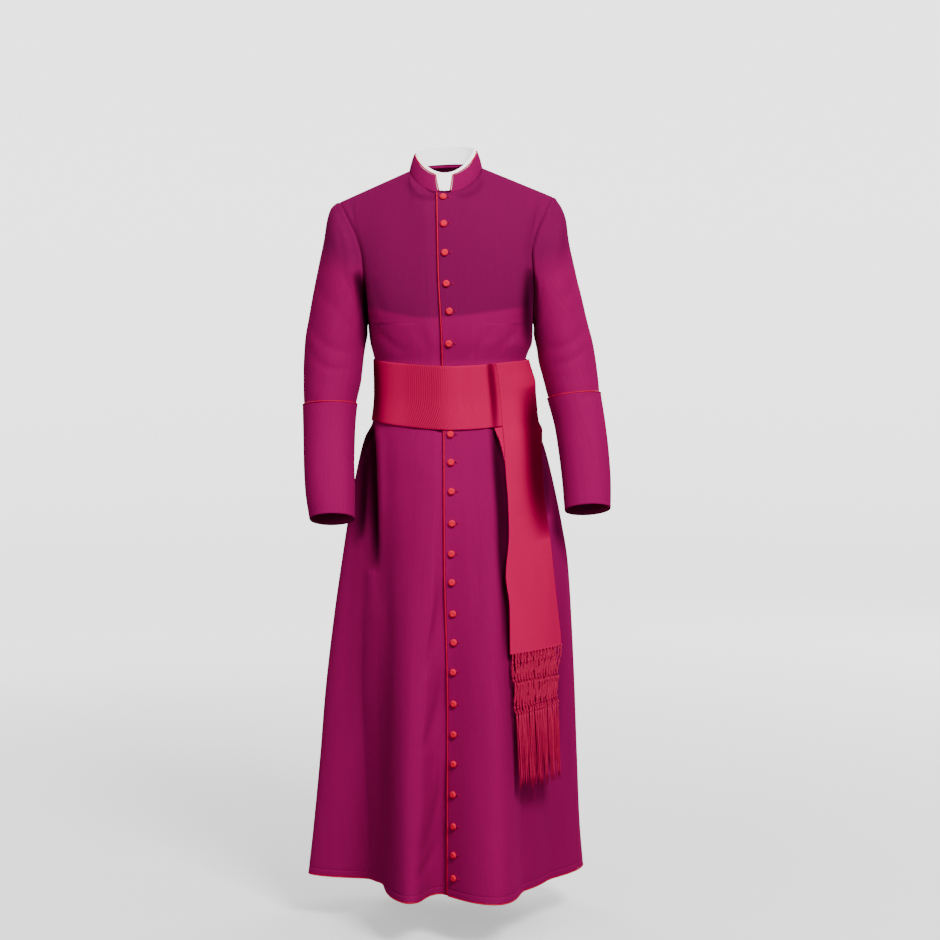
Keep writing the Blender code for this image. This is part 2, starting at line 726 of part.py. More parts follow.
def build_falls(group):
    """Front fall over the band, and rear fall from under the band's lower edge."""
    front = fall_rows(FRONT_FALL, FALL_ROWS, FALL_END, SASH_TOP + 1.0, SASH_TOP_DIP, FALL_LIFT)
    add_wall("sash_fall_front", front, "silk", group, SASH_CLOTH)
    rear = fall_rows(REAR_FALL, REAR_FALL_ROWS, REAR_FALL_END, SASH_BOTTOM - 2 * SEAM_GAP,
                     SASH_BOTTOM_DIP, SASH_LIFT)
    add_wall("sash_fall_rear", rear, "silk", group, SASH_CLOTH)


class Net:
    """Flat quads laid on a sash fall's surface, sharing corners by their place."""

    def __init__(self, edges, lift):
        self.edges = edges
        self.lift = lift
        self.build = bmesh.new()
        self.corners = {}

    def corner(self, across, level):
        key = (round(across, 5), round(level, 2))
        if key not in self.corners:
            point = fall_point(self.edges, across, level, self.lift)
            self.corners[key] = self.build.verts.new(point * MM)
        return self.corners[key]

    def face(self, *places):
        self.build.faces.new([self.corner(*place) for place in places])

    def finish(self, name, group):
        mesh = bpy.data.meshes.new(name)
        self.build.to_mesh(mesh)
        self.build.free()
        piece = add_object(name, mesh, "silk", group)
        wall = piece.modifiers.new("Strands", "SOLIDIFY")
        wall.thickness = FRINGE_DEPTH * MM
        wall.offset = -1.0


def strip(net, marks, low, high):
    """Narrow backing strip that carries the tufts, with a corner at each mark."""
    for left, right in zip(marks, marks[1:]):
        net.face((left, low), (right, low), (right, high), (left, high))


def build_front_fringe(group):
    """Strip, tufts, two knotted rows of net and the free strands."""
    net = Net(FRONT_FALL, FALL_LIFT + 0.2)
    pitch = 1.0 / TUFTS
    half = 0.5 * KNOT_WIDTH / FALL_WIDTH
    strip_top = FALL_END - SEAM_GAP
    strip_low = strip_top - STRIP_HEIGHT
    shifts = [0.5] + [0.0 if row % 2 == 0 else 0.5 for row in range(len(KNOT_LEVELS))]
    counts = [TUFTS if shift else TUFTS + 1 for shift in shifts]
    centres = [[(i + shift) * pitch for i in range(count)] for shift, count in zip(shifts, counts)]
    feet = [strip_low - TUFT_LENGTH] + [level - KNOT_HEIGHT for level in KNOT_LEVELS]

    marks = [0.0]
    for middle in centres[0]:
        left, right = middle - half, middle + half
        marks += [left, right]
        net.face((left, feet[0]), (middle, feet[0]), (right, feet[0]), (right, strip_low),
                 (left, strip_low))
    strip(net, marks + [1.0], strip_low, strip_top)

    for row, top in enumerate(KNOT_LEVELS, 1):
        for middle in centres[row]:
            left, right = middle - half, middle + half
            net.face((left, feet[row]), (middle, feet[row]), (right, feet[row]),
                     (right, top), (middle, top), (left, top))
            for upper in centres[row - 1]:
                if abs(upper - middle) > pitch:
                    continue
                low_left, high_left = (left, upper) if upper < middle else (middle, upper - half)
                net.face((low_left, top), (low_left + half, top), (high_left + half, feet[row - 1]),
                         (high_left, feet[row - 1]))

    steps = spaced(feet[-1], FRINGE_END, FREE_ROWS)
    for middle in centres[-1]:
        for side in (-1, 0):
            start = middle + side * half
            spread = (side + 0.5) * (pitch / 2 - half)
            for row, (high, low) in enumerate(zip(steps, steps[1:])):
                upper = start + (spread if row else 0.0)
                lower = start + spread
                net.face((lower, low), (lower + half, low), (upper + half, high), (upper, high))
    net.finish("fringe_front", group)


def build_rear_fringe(group):
    """Strip and plain locks under the rear fall."""
    net = Net(REAR_FALL, SASH_LIFT)
    pitch = 1.0 / REAR_LOCKS
    half = 0.5 * REAR_LOCK_WIDTH / FALL_WIDTH
    strip_top = REAR_FALL_END - SEAM_GAP
    strip_low = strip_top - STRIP_HEIGHT
    marks = [0.0]
    steps = spaced(strip_low, REAR_FRINGE_END, FREE_ROWS)
    for lock in range(REAR_LOCKS):
        left = (lock + 0.5) * pitch - half
        right = (lock + 0.5) * pitch + half
        marks += [left, right]
        for high, low in zip(steps, steps[1:]):
            net.face((left, low), (right, low), (right, high), (left, high))
    strip(net, marks + [1.0], strip_low, strip_top)
    net.finish("fringe_rear", group)


def main():
    for thing in list(bpy.data.objects):
        bpy.data.objects.remove(thing, do_unlink=True)
    group = bpy.data.collections.new("Cassock")
    bpy.context.scene.collection.children.link(group)
    front_left = build_fronts(group)
    build_back(group)
    build_sleeve("left", LEFT_SLEEVE, 1, group)
    build_sleeve("right", RIGHT_SLEEVE, -1, group)
    build_collar(group)
    build_body_piping(group)
    build_buttons(group, front_left)
    build_sash_band(group)
    build_falls(group)
    build_front_fringe(group)
    build_rear_fringe(group)


main()
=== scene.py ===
"""Cassock: the finished cloth, cord, silk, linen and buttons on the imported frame.

Sizes are in millimetres and become metres when a mesh is made.  +Z is up, +X is the
wearer's left and the front faces -Y.  The body cloth is one surface, read by a turn
in degrees round the wearer from centre front and by a level, which is a height.
"""
import logging
import math
from dataclasses import dataclass, field
from enum import Enum
from typing import Sequence

import bpy
import numpy as np
from bpy.types import ID, Material, Mesh, Node, NodeSocket, Object
from mathutils import Matrix, Vector


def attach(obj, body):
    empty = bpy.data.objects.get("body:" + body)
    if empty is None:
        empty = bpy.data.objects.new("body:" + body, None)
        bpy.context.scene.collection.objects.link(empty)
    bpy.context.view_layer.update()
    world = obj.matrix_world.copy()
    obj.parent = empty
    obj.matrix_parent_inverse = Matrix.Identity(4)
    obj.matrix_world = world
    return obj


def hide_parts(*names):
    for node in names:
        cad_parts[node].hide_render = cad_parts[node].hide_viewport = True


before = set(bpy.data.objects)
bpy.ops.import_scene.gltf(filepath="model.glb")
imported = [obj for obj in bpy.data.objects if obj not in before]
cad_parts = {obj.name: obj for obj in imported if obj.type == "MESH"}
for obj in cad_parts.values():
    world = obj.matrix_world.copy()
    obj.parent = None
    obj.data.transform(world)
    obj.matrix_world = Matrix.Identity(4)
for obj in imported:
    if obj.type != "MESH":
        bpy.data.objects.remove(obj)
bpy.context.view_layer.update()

BODY = "root"
MM = 0.001
CLOTH_MAP = "Cloth"
# Mark of painted shade on the wool's upper part and the collar, and of the sash's ribbed zones.
MARK = "mark"
# Mark of painted shade: how far a point's colour goes over to a near-black shadow colour, in deep folds, by
# the armholes and where cast shadows fall.
PAINTED_SHADE_MARK = "hollow"

HEM = -1436.0
CHEST = -300.0
YOKE_TOP = 0.0
CLOTH = 1.6
CORD_SIDES = 10
CREASE_STEPS = 8
CREASE_END_EASE = 0.7
CREASE_SIDE_BLUR = 24.0
CREASE_DARK_SPREAD = 2.4

Colour = tuple[float, float, float, float]
Pair = tuple[float, float]
Triple = tuple[float, float, float]
Numbers = tuple[float, ...]
Points = np.ndarray
Values = float | Points
Shade = float | Colour | NodeSocket

log = logging.getLogger("cassock")


class Face(Enum):
    """Side of the garment that a crease lies on, as the sign of its Y."""

    FRONT = -1
    BACK = 1


class Hand(Enum):
    """Side of the wearer, as the sign of X."""

    LEFT = 1
    RIGHT = -1

    @property
    def word(self) -> str:
        """Name of the side in lower case."""
        return self.name.lower()


class Grain(Enum):
    """Direction that a ribbed cloth's ribs run in."""

    UPRIGHT = "X"
    LEVEL = "Y"


# Curves and grids


def mix(a: Values, b: Values, share: Values) -> Values:
    """Value at a share of the way from a to b."""
    return a + (b - a) * share


def share_between(value: Values, low: float, high: float) -> Values:
    """How far a value has gone from low to high, held between 0 and 1."""
    return np.clip((value - low) / (high - low), 0.0, 1.0)


def eased(share: Values) -> Values:
    """Smooth step of a share between 0 and 1."""
    share = np.clip(share, 0.0, 1.0)
    return share * share * (3 - 2 * share)


def bell(place: Values, width: float, centre: float = 0.0) -> Values:
    """Bell curve of height 1 round a centre."""
    return np.exp(-((place - centre) / width) ** 2)


def ridged(distance: Points, ridges: Sequence[Triple]) -> Points:
    """Sum of bell-shaped ridges or grooves, each with a height, a width and a centre."""
    return sum(height * bell(distance, width, centre) for height, width, centre in ridges)


def signed(turn: Points) -> Points:
    """Turn in degrees from -180 to 180."""
    return (turn + 180.0) % 360.0 - 180.0


def shared_slope(before: Points, after: Points) -> Points:
    """Slope at a station from those on its two sides, level at a high or low point."""
    product = before * after
    return np.where(product > 0, 2 * product / np.where(product > 0, before + after, 1.0), 0.0)


def hermite(u: Points, step: Points, ends: Sequence[Points], slopes: Sequence[Points]) -> Points:
    """Cubic at a share u of a step, from the values and the slopes at its two ends."""
    lean = u * (1 - u) * step * ((1 - u) * slopes[0] - u * slopes[1])
    return mix(ends[0], ends[1], u * u * (3 - 2 * u)) + lean


class Curve:
    """Smooth curve through stations, with no overshoot between them."""

    def __init__(self, stations: Sequence[float], values: Sequence[float]) -> None:
        """Work out the slope at each station.

        Args:
            stations: Rising places along the curve.
            values: The curve's value at each station.
        """
        self.stations = np.asarray(stations, float)
        self.values = np.asarray(values, float)
        self.steps = np.diff(self.stations)
        slopes = np.diff(self.values) / self.steps
        inner = shared_slope(slopes[:-1], slopes[1:])
        self.slopes = np.concatenate([slopes[:1], inner, slopes[-1:]])

    def __call__(self, at: Values) -> Points:
        """Read the curve.

        Args:
            at: One or more places along it.

        Returns:
            Its value at each place.
        """
        at = np.clip(at, self.stations[0], self.stations[-1])
        i = np.clip(np.searchsorted(self.stations, at, side="right") - 1, 0, len(self.steps) - 1)
        u = (at - self.stations[i]) / self.steps[i]
        ends = (self.values[i], self.values[i + 1])
        return hermite(u, self.steps[i], ends, (self.slopes[i], self.slopes[i + 1]))


def column_curve(table: Sequence, key: str, name: str) -> Curve:
    """Curve of one named column of a table over another, which rises down the table."""
    return Curve([getattr(row, key) for row in table], [getattr(row, name) for row in table])


def fine_ends(count: int, bias: float = 0.6) -> Points:
    """Shares from 0 to 1 in so many steps, which a bias draws together near both ends."""
    even = np.linspace(0.0, 1.0, count + 1)
    return mix(even, (1 - np.cos(math.pi * even)) / 2, bias)


def unit(vectors: Points) -> Points:
    """Vectors scaled to length 1."""
    return vectors / np.maximum(np.linalg.norm(vectors, axis=-1, keepdims=True), 1e-9)


def run_of(points: Points, axis: int, closed: bool = False) -> Points:
    """Direction of the points' run along an axis, which joins up where it is closed."""
    return np.roll(points, -1, axis) - np.roll(points, 1, axis) if closed else np.gradient(points, axis=axis)


def outward(points: Points) -> Points:
    """Level directions away from the garment's middle line."""
    return unit(points * np.array((1.0, 1.0, 0.0)))


def joined(x: Values, y: Values, z: Values) -> Points:
    """Points from their three coordinates, spread to one shape."""
    return np.stack(np.broadcast_arrays(x, y, z), axis=-1).astype(float)


def together(turn: Values, level: Values) -> list[Points]:
    """Turns and levels, or x and levels, spread to one shape."""
    return np.broadcast_arrays(np.asarray(turn, float), np.asarray(level, float))


# The body's form


@dataclass(frozen=True)
class Section:
    """Outline of the trunk or skirt at one level, over the tops of its folds."""

    level: float
    left: float
    right: float
    front: float
    back: float
    roundness: float


@dataclass(frozen=True)
class Fold:
    """Top or hollow of the skirt's folds, with its turn and depth at the hem."""

    turn: float
    hem_turn: float
    hem_depth: float
    starts_at: float


@dataclass(frozen=True)
class Ring:
    """Sleeve ring: its outer and inner points, its middle, half depth and tilt."""

    outer_x: float
    outer_z: float
    inner_x: float
    inner_z: float
    middle_y: float
    half_depth: float
    tilt: float


@dataclass(frozen=True)
class FallEdge:
    """Both edges of a sash fall at one level, and how far its outer edge stands off."""

    level: float
    left_x: float
    right_x: float
    stand_off: float


TRUNK = [Section(*row) for row in (
    (HEM, -286, 294, -218, 330, 2.05), (-1350, -276, 286, -209, 312, 2.05),
    (-1200, -261, 278, -193, 282, 2.1), (-1050, -248, 271, -178, 250, 2.1),
    (-900, -230, 262, -162, 216, 2.1), (-790, -214, 253, -150, 190, 2.1),
    (-700, -200, 237, -141, 166, 2.1), (-620, -186, 219, -132, 144, 2.1),
    (-560, -173, 203, -125, 126, 2.15), (-530, -164, 192, -121, 117, 2.15),
    (-500, -149, 175, -117, 108, 2.2), (-440, -143, 163, -112, 101, 2.2),
    (-376, -144, 161, -112, 101, 2.25), (-358, -148, 166, -115, 103, 2.3),
    (-338, -154, 177, -120, 106, 2.3), (CHEST, -158, 175, -124, 108, 2.35),
)]
FOLDS = [Fold(*row) for row in (
    (-4, -6, 92, -640), (26, 22, 0, -560), (50, 46, 66, -500), (70, 68, 72, -500), (100, 104, 0, -500),
    (111, 116, 3, -500), (124, 127, 47, -560), (138, 139, 3, -560), (147, 148, 6, -560),
    (161, 160, 61, -620), (174, 173, 9, -620), (184, 185, 4, -620), (199, 199, 49, -600),
    (213, 213, 5, -560), (223, 224, 1, -560), (240, 240, 54, -540), (255, 256, 9, -500),
    (265, 265, 4, -500), (274, 273, 0, -500), (290, 292, 116, -490), (301, 304, 120, -490),
    (332, 342, 16, -560), (342, 346, 26, -600), (350, 349.5, 80, -640),
)]
LEFT_SLEEVE = [Ring(*row) for row in (
    (232, -66, 178.5, -306, -4, 72, 0), (242, -92, 177.5, -314, -4, 73, 0),
    (248, -135, 177.2, -322, -3, 73, 0), (258, -182, 178.4, -331, -3, 72, 0),
    (271, -235, 181, -342, -2, 71, 0), (284, -290, 184, -356, -2, 70, 0),
    (298, -345, 187, -378, -3, 68, 2), (306, -398, 195.5, -410, -6, 65, 6),
    (311, -444, 207, -455, -14, 61, 10), (319, -502, 221, -508, -29, 56, 16),
    (325, -560, 229, -562, -47, 52, 19), (328, -618, 235, -618, -65, 48, 20),
    (327, -670, 239, -674, -82, 44, 20),
)]
RIGHT_SLEEVE = [Ring(*row) for row in (
    (230, -68, 159.2, -306, -4, 72, 0), (239, -92, 158.2, -314, -4, 73, 0),
    (245, -130, 157.8, -322, -3, 73, 0), (255, -178, 159, -331, -3, 72, 0),
    (266, -230, 161.5, -342, -2, 71, 0), (276, -285, 164, -356, -2, 70, 0),
    (285, -340, 167, -380, -3, 68, 2), (288, -405, 171, -416, -6, 65, 6),
    (287, -468, 181, -466, -14, 61, 10), (285, -524, 185, -520, -29, 56, 16),
    (283, -582, 186, -578, -47, 52, 19), (279, -638, 184, -634, -65, 48, 20),
    (270, -692, 184, -690, -82, 44, 21),
)]
FRONT_FALL = [FallEdge(*row) for row in (
    (-1212, 144, 227, 0), (-1100, 138, 223, 0), (-1000, 131, 222, 0), (-953, 125, 228, 0),
    (-860, 124, 219, 0), (-797, 117, 212, 0), (-718, 123, 204, 0), (-650, 121, 196, 1),
    (-600, 117, 192, 3), (-540, 114, 186, 8), (-500, 110, 183, 12), (-460, 107, 181, 16),
    (-420, 103, 180, 14), (-390, 99, 176, 6), (-370, 94, 164, 0),
)]
REAR_FALL = [FallEdge(*row) for row in (
    (-1212, 150, 222, 0), (-912, 136, 214, 0), (-700, 128, 198, 0), (-580, 116, 188, 3),
    (-535, 106, 184, 6), (-510, 96, 178, 4), (-500, 94, 174, 0),
)]


@dataclass
class BodyForm:
    """Outer face of the body cloth, from the hem to the neck and the shoulders."""

    folded: bool = True
    flare_top: float = -480.0
    fold_ease: float = 1.15
    side_turn: float = 90.0
    neck_turn: float = 40.0
    neck_half_width: float = 73.0
    neck_front: float = -68.0
    neck_back: float = 62.0
    neck_front_drop: float = -41.0
    neck_back_rise: float = 16.0
    neck_side_height: float = 8.0
    neck_roll: float = 3.0
    neck_curve: float = 1.4
    shoulder_tip_right: Triple = (-215.0, 4.0, -58.0)
    shoulder_tip_left: Triple = (217.0, 4.0, -47.0)
    armhole_front_bow: float = 66.0
    armhole_back_bow: float = 60.0
    armhole_inset: float = 7.0
    inset_shares: Numbers = (0, 0.18, 0.30, 0.46, 0.59, 0.70, 0.85, 1)
    insets_left: Numbers = (0, -4, -1, 8, 14, 13, 6, 0)
    insets_right: Numbers = (0, 0, 0, 4, 8, 8, 4, 0)
    wide_sink: Pair = (20.0, 4.0)
    narrow_sink: Pair = (6.0, 2.0)
    back_sink: Pair = (13.0, 2.0)
    sink_start: float = 3.0
    front_sink_gain: Triple = (13.0, -170.0, 45.0)
    back_sink_gain: Triple = (5.0, -110.0, 120.0)
    sink_fades: Pair = (0.16, 0.2)
    seam_turn: float = 0.02
    yoke_roll: float = 2.1
    yoke_spread: float = 1.5
    chest_blend: float = 95.0
    chest_spread: float = 20.0
    neck_blend: float = 7.0
    neck_blend_reach: float = 26.0
    neck_blend_top: float = -8.0
    neck_blend_fade: float = 55.0
    least_blend: float = 0.01
    search_turns: Pair = (-30.0, 88.0)
    halvings: int = 34
    edge_levels: Numbers = (HEM, -1268, -1060, -900, -780, -540, -356, -176, YOKE_TOP)
    edge_places: Numbers = (3, 4, 5, 2, -1, -2, -5.5, -13, -16)

    def __post_init__(self) -> None:
        """Make the curves that the surface is read from."""
        names = ("left", "right", "front", "back", "roundness")
        self.sections = {name: column_curve(TRUNK, "level", name) for name in names}
        laps = [(fold, lap) for lap in (-360.0, 0.0, 360.0) for fold in FOLDS]
        self.fold_turns = np.array([fold.turn + lap for fold, lap in laps])
        self.fold_depths = np.array([fold.hem_depth for fold, _ in laps])
        self.fold_starts = np.array([fold.starts_at for fold, _ in laps])
        self.hem_turn = Curve(self.fold_turns, [fold.hem_turn + lap for fold, lap in laps])
        self.edge = Curve(self.edge_levels, self.edge_places)
        self.inset_left = Curve(self.inset_shares, self.insets_left)
        self.inset_right = Curve(self.inset_shares, self.insets_right)
        self.taps = np.linspace(-2.0, 2.0, 9)
        self.weights = np.exp(-self.taps ** 2 / 2) / np.exp(-self.taps ** 2 / 2).sum()

    def fold_depth(self, turn: Points, level: Points) -> Points:
        """Read how far the folds draw the skirt in.

        Args:
            turn: Turn of each point.
            level: Level of each point.

        Returns:
            The depths.
        """
        i = np.searchsorted(self.fold_turns, turn % 360.0, side="right") - 1
        places, values = [], []
        for k in (i - 1, i, i + 1, i + 2):
            start = self.fold_starts[k]
            reach = np.clip((start - level) / (start - HEM), 0.0, 1.0)
            places.append(self.fold_turns[k])
            values.append(self.fold_depths[k] * reach ** self.fold_ease)
        slopes = [(values[k + 1] - values[k]) / (places[k + 1] - places[k]) for k in range(3)]
        step = places[2] - places[1]
        u = (turn % 360.0 - places[1]) / step
        leans = (shared_slope(slopes[0], slopes[1]), shared_slope(slopes[1], slopes[2]))
        return hermite(u, step, (values[1], values[2]), leans)

    def trunk(self, turn: Points, level: Points) -> Points:
        """Find points of the trunk or skirt cloth.

        Args:
            turn: Turn of each point.
            level: Level of each point.

        Returns:
            The points.
        """
        size = {name: curve(level) for name, curve in self.sections.items()}
        flare = share_between(self.flare_top - level, 0.0, self.flare_top - HEM)
        spread = self.hem_turn(turn % 360.0) - turn % 360.0
        angle = np.radians(turn + spread * flare)
        across = np.abs(np.sin(angle)) / ((size["right"] - size["left"]) / 2)
        along = np.abs(np.cos(angle)) / ((size["back"] - size["front"]) / 2)
        power = size["roundness"]
        radius = (across ** power + along ** power) ** (-1 / power)
        if self.folded:
            radius = radius - np.where(level < self.flare_top, self.fold_depth(turn, level), 0.0)
        return joined((size["left"] + size["right"]) / 2 + radius * np.sin(angle),
                      (size["front"] + size["back"]) / 2 - radius * np.cos(angle), level)

    def neck(self, angle: Points) -> Points:
        """Find points of the neck seam.

        Args:
            angle: Angles in degrees from centre front.

        Returns:
            The points.
        """
        side = np.sin(np.radians(angle))
        along = np.cos(np.radians(angle))
        depth = np.where(along >= 0, self.neck_front, -self.neck_back) * along
        rise = np.where(along >= 0, self.neck_front_drop, self.neck_back_rise) - self.neck_side_height
        height = self.neck_side_height + self.neck_roll * side
        return joined(self.neck_half_width * side, depth,
                      height + rise * np.abs(along) ** self.neck_curve)

    def yoke_top(self, turn: Points) -> Points:
        """Find the upper edge of the body cloth: the neck seam, then the shoulder seam.

        Args:
            turn: Turn of each point.

        Returns:
            The points.
        """
        turn = signed(turn)
        sign = np.where(turn >= 0, 1.0, -1.0)
        front = np.abs(turn) < self.side_turn
        reach = np.where(front, np.abs(turn), 180.0 - np.abs(turn))
        angle = 90.0 * np.minimum(reach / self.neck_turn, 1.0)
        neck = self.neck(sign * np.where(front, angle, 180.0 - angle))
        tip = np.where(sign[..., None] > 0, self.shoulder_tip_left, self.shoulder_tip_right)
        share = share_between(reach, self.neck_turn, self.side_turn)[..., None]
        return mix(neck, tip, share)

    def yoke(self, turn: Points, share: Points) -> Points:
        """Find points between the chest ring and the neck or shoulder seam.

        Args:
            turn: Turn of each point.
            share: How far up each point lies, from 0 at the ring to 1 at the seam.

        Returns:
            The points.
        """
        low = self.trunk(turn, np.full_like(share, CHEST))
        high = self.yoke_top(turn)
        turn = signed(turn)
        front = np.abs(turn) < self.side_turn
        reach = np.where(front, np.abs(turn), 180.0 - np.abs(turn))
        hold = (1 - np.minimum(1.0, share) ** self.yoke_roll) ** (1 / self.yoke_roll)
        bow = 2 * np.sqrt(share * (1 - share)) * (reach / self.side_turn) ** 3
        swell = np.where(front, -self.armhole_front_bow, self.armhole_back_bow)
        further = np.where(turn >= 0, self.inset_left(share), self.inset_right(share))
        inset = self.armhole_inset * bow + further * (reach / self.side_turn) ** 3
        inset = np.where(turn >= 0, inset, -inset)
        return joined(mix(low[..., 0], high[..., 0], share ** self.yoke_spread) - inset,
                      mix(high[..., 1], low[..., 1], hold) + bow * swell,
                      mix(low[..., 2], high[..., 2], share))

    def sharp_point(self, turn: Points, level: Points) -> Points:
        """Points of the trunk below the chest ring and of the yoke above it."""
        yoke = self.yoke(turn, share_between(level, CHEST, YOKE_TOP))
        return np.where((level > CHEST)[..., None], yoke, self.trunk(turn, np.minimum(level, CHEST)))

    def soft_point(self, turn: Points, level: Points) -> Points:
        """Find points of the body cloth, with no hard line down from the sides of the neck.

        Args:
            turn: Turn of each point.
            level: Level of each point.

        Returns:
            The points.
        """
        reach = np.abs(signed(turn))
        gap = np.abs(np.minimum(reach, 180.0 - reach) - self.neck_turn)
        below = eased((self.neck_blend_top - level) / self.neck_blend_fade)
        spread = self.neck_blend * eased(1 - gap / self.neck_blend_reach) * below
        spread = np.where(level > CHEST, spread, 0.0)
        near = spread > self.least_blend
        points = self.sharp_point(turn, level)
        if near.any():
            points[near] = sum(weight * self.sharp_point(turn[near] + step * spread[near], level[near])
                               for step, weight in zip(self.taps, self.weights))
        return points

    def point(self, turn: Values, level: Values) -> Points:
        """Find points of the body cloth's outer face, with no hard line at the chest ring.

        Args:
            turn: Turn of each point.
            level: Level of each point.

        Returns:
            The points.
        """
        turn, level = together(turn, level)
        points = self.soft_point(turn, level)
        near = np.abs(level - CHEST) < self.chest_blend
        if not near.any():
            return points
        some_turn, some_level = turn[near], level[near]
        soft = sum(weight * self.soft_point(some_turn, some_level + step * self.chest_spread)
                   for step, weight in zip(self.taps, self.weights))
        share = eased(1 - np.abs(some_level - CHEST) / self.chest_blend)[:, None]
        points[near] = mix(points[near], soft, share)
        return points

    def normal(self, turn: Values, level: Values, step: float = 1.0) -> Points:
        """Find the outward directions square to the body cloth.

        Args:
            turn: Turn of each point.
            level: Level of each point.
            step: How far to either side the slope is read, in degrees and in mm.

        Returns:
            The directions.
        """
        turn, level = together(turn, level)
        low = np.maximum(HEM, level - step)
        high = np.minimum(YOKE_TOP - 1e-6, level + step)
        round_body = self.point(turn + step, level) - self.point(turn - step, level)
        up_body = self.point(turn, high) - self.point(turn, low)
        return unit(np.cross(round_body, up_body))

    def lifted(self, turn: Values, level: Values, lift: Values) -> Points:
        """Body points moved out along the cloth's own normal."""
        lift = np.asarray(lift, float)[..., None]
        return self.point(turn, level) + self.normal(turn, level) * lift

    def turn_at(self, x: Values, level: Values) -> Points:
        """Find the turns at which the front of the body cloth passes through x.

        Args:
            x: Distance of each point from the centre line.
            level: Level of each point.

        Returns:
            The turns.
        """
        x, level = together(x, level)
        low, high = (np.full(x.shape, turn) for turn in self.search_turns)
        for _ in range(self.halvings):
            middle = (low + high) / 2
            short = self.point(middle, level)[..., 0] < x
            low = np.where(short, middle, low)
            high = np.where(short, high, middle)
        return (low + high) / 2

    def edge_turn(self, level: Values) -> Points:
        """Turns of the left front's edge."""
        return self.turn_at(self.edge(level), level)

    def armhole_sink(self, level: Points, distance: Points, face: Face, reach: Pair) -> Points:
        """Find how far the cloth is drawn in beside an armhole seam.

        Args:
            level: Level of each point's place on the seam.
            distance: Distance of each point from the seam.
            face: Side of the garment that the seam runs on there.
            reach: Width of the hollow beside the seam and the power that it fades by.

        Returns:
            The offsets to the points, which go straight to the back or to the front.
        """
        share = share_between(level, CHEST, YOKE_TOP)
        gain, start, drop = self.front_sink_gain if face is Face.FRONT else self.back_sink_gain
        low_fade, high_fade = self.sink_fades
        depth = self.sink_start + gain * eased((start - level) / drop)
        depth = depth * eased(share / low_fade) * eased((1 - share) / high_fade)
        width, power = reach
        move = -face.value * depth * np.exp(-(distance / width) ** power)
        return joined(0.0, move, 0.0)


FORM = BodyForm()
SMOOTH_FORM = BodyForm(folded=False)


# Creases


@dataclass(frozen=True)
class Crease:
    """Soft trough or ridge along a line on the cloth, as seen square on.

    Its path has an across place and a height for each station in turn.  A trough has a
    negative depth.  A lean of 1 doubles the width of the side towards +X.  Its painted
    shade is the share of the cloth's colour that goes over to a shadow colour along it:
    painted shade for the light lost in a narrow fold that is deeper than its soft form,
    and for shadows cast on it.
    """

    path: Numbers
    width: float
    depth: float
    lean: float = 0.0
    face: Face = Face.FRONT
    painted_shade: float = 0.0

    def share_at(self, points: Points, middle: Points) -> Points:
        """Find how strongly each point feels the crease, from 0 to 1.

        Args:
            points: Points of the cloth.
            middle: The Y that parts the cloth's front from its back there.

        Returns:
            The shares, with the points' shape less its last axis.
        """
        stations = np.reshape(self.path, (-1, 2))
        knots = np.arange(len(stations))
        fine = np.linspace(0, knots[-1], CREASE_STEPS * knots[-1] + 1)
        line = np.stack([Curve(knots, column)(fine) for column in stations.T], axis=-1)
        flat = points[..., (0, 2)]
        best = np.full(flat.shape[:-1], 1e9)
        share = np.zeros_like(best)
        side = np.zeros_like(best)
        for k, (start, end) in enumerate(zip(line, line[1:])):
            run = end - start
            t = np.clip(((flat - start) @ run) / (run @ run), 0.0, 1.0)
            gap = flat - (start + t[..., None] * run)
            distance = np.linalg.norm(gap, axis=-1)
            nearer = distance < best
            best = np.where(nearer, distance, best)
            share = np.where(nearer, (k + t) / (len(line) - 1), share)
            side = np.where(nearer, np.sign(gap[..., 0]), side)
        width = self.width * (1 + np.clip(self.lean * side, 0.0, None))
        ends = np.sin(math.pi * share) ** CREASE_END_EASE
        towards = eased(0.5 + self.face.value * (points[..., 1] - middle) / CREASE_SIDE_BLUR)
        return np.exp(-(best / width) ** 2) * ends * towards


def pressed(creases: Sequence[Crease], points: Points, middle: Values = 0.0) -> tuple[Points, Points]:
    """Press a set of creases into a cloth.

    Args:
        creases: The creases.
        points: Points of the cloth.
        middle: The Y that parts the cloth's front from its back there.

    Returns:
        How far each point moves along the cloth's normal, and its share of painted shade.
    """
    height = np.zeros(points.shape[:-1])
    light = np.ones(points.shape[:-1])
    for crease in creases:
        share = crease.share_at(points, middle)
        height += crease.depth * share
        # Each crease paints its share of shade into the colour.
        light *= 1 - crease.painted_shade * (1 - (1 - share) ** CREASE_DARK_SPREAD)
    return height, 1 - light


def behind(path: Numbers, width: float, depth: float, lean: float = 0.0) -> Crease:
    """Crease on the back of the garment."""
    return Crease(path, width, depth, lean, Face.BACK)
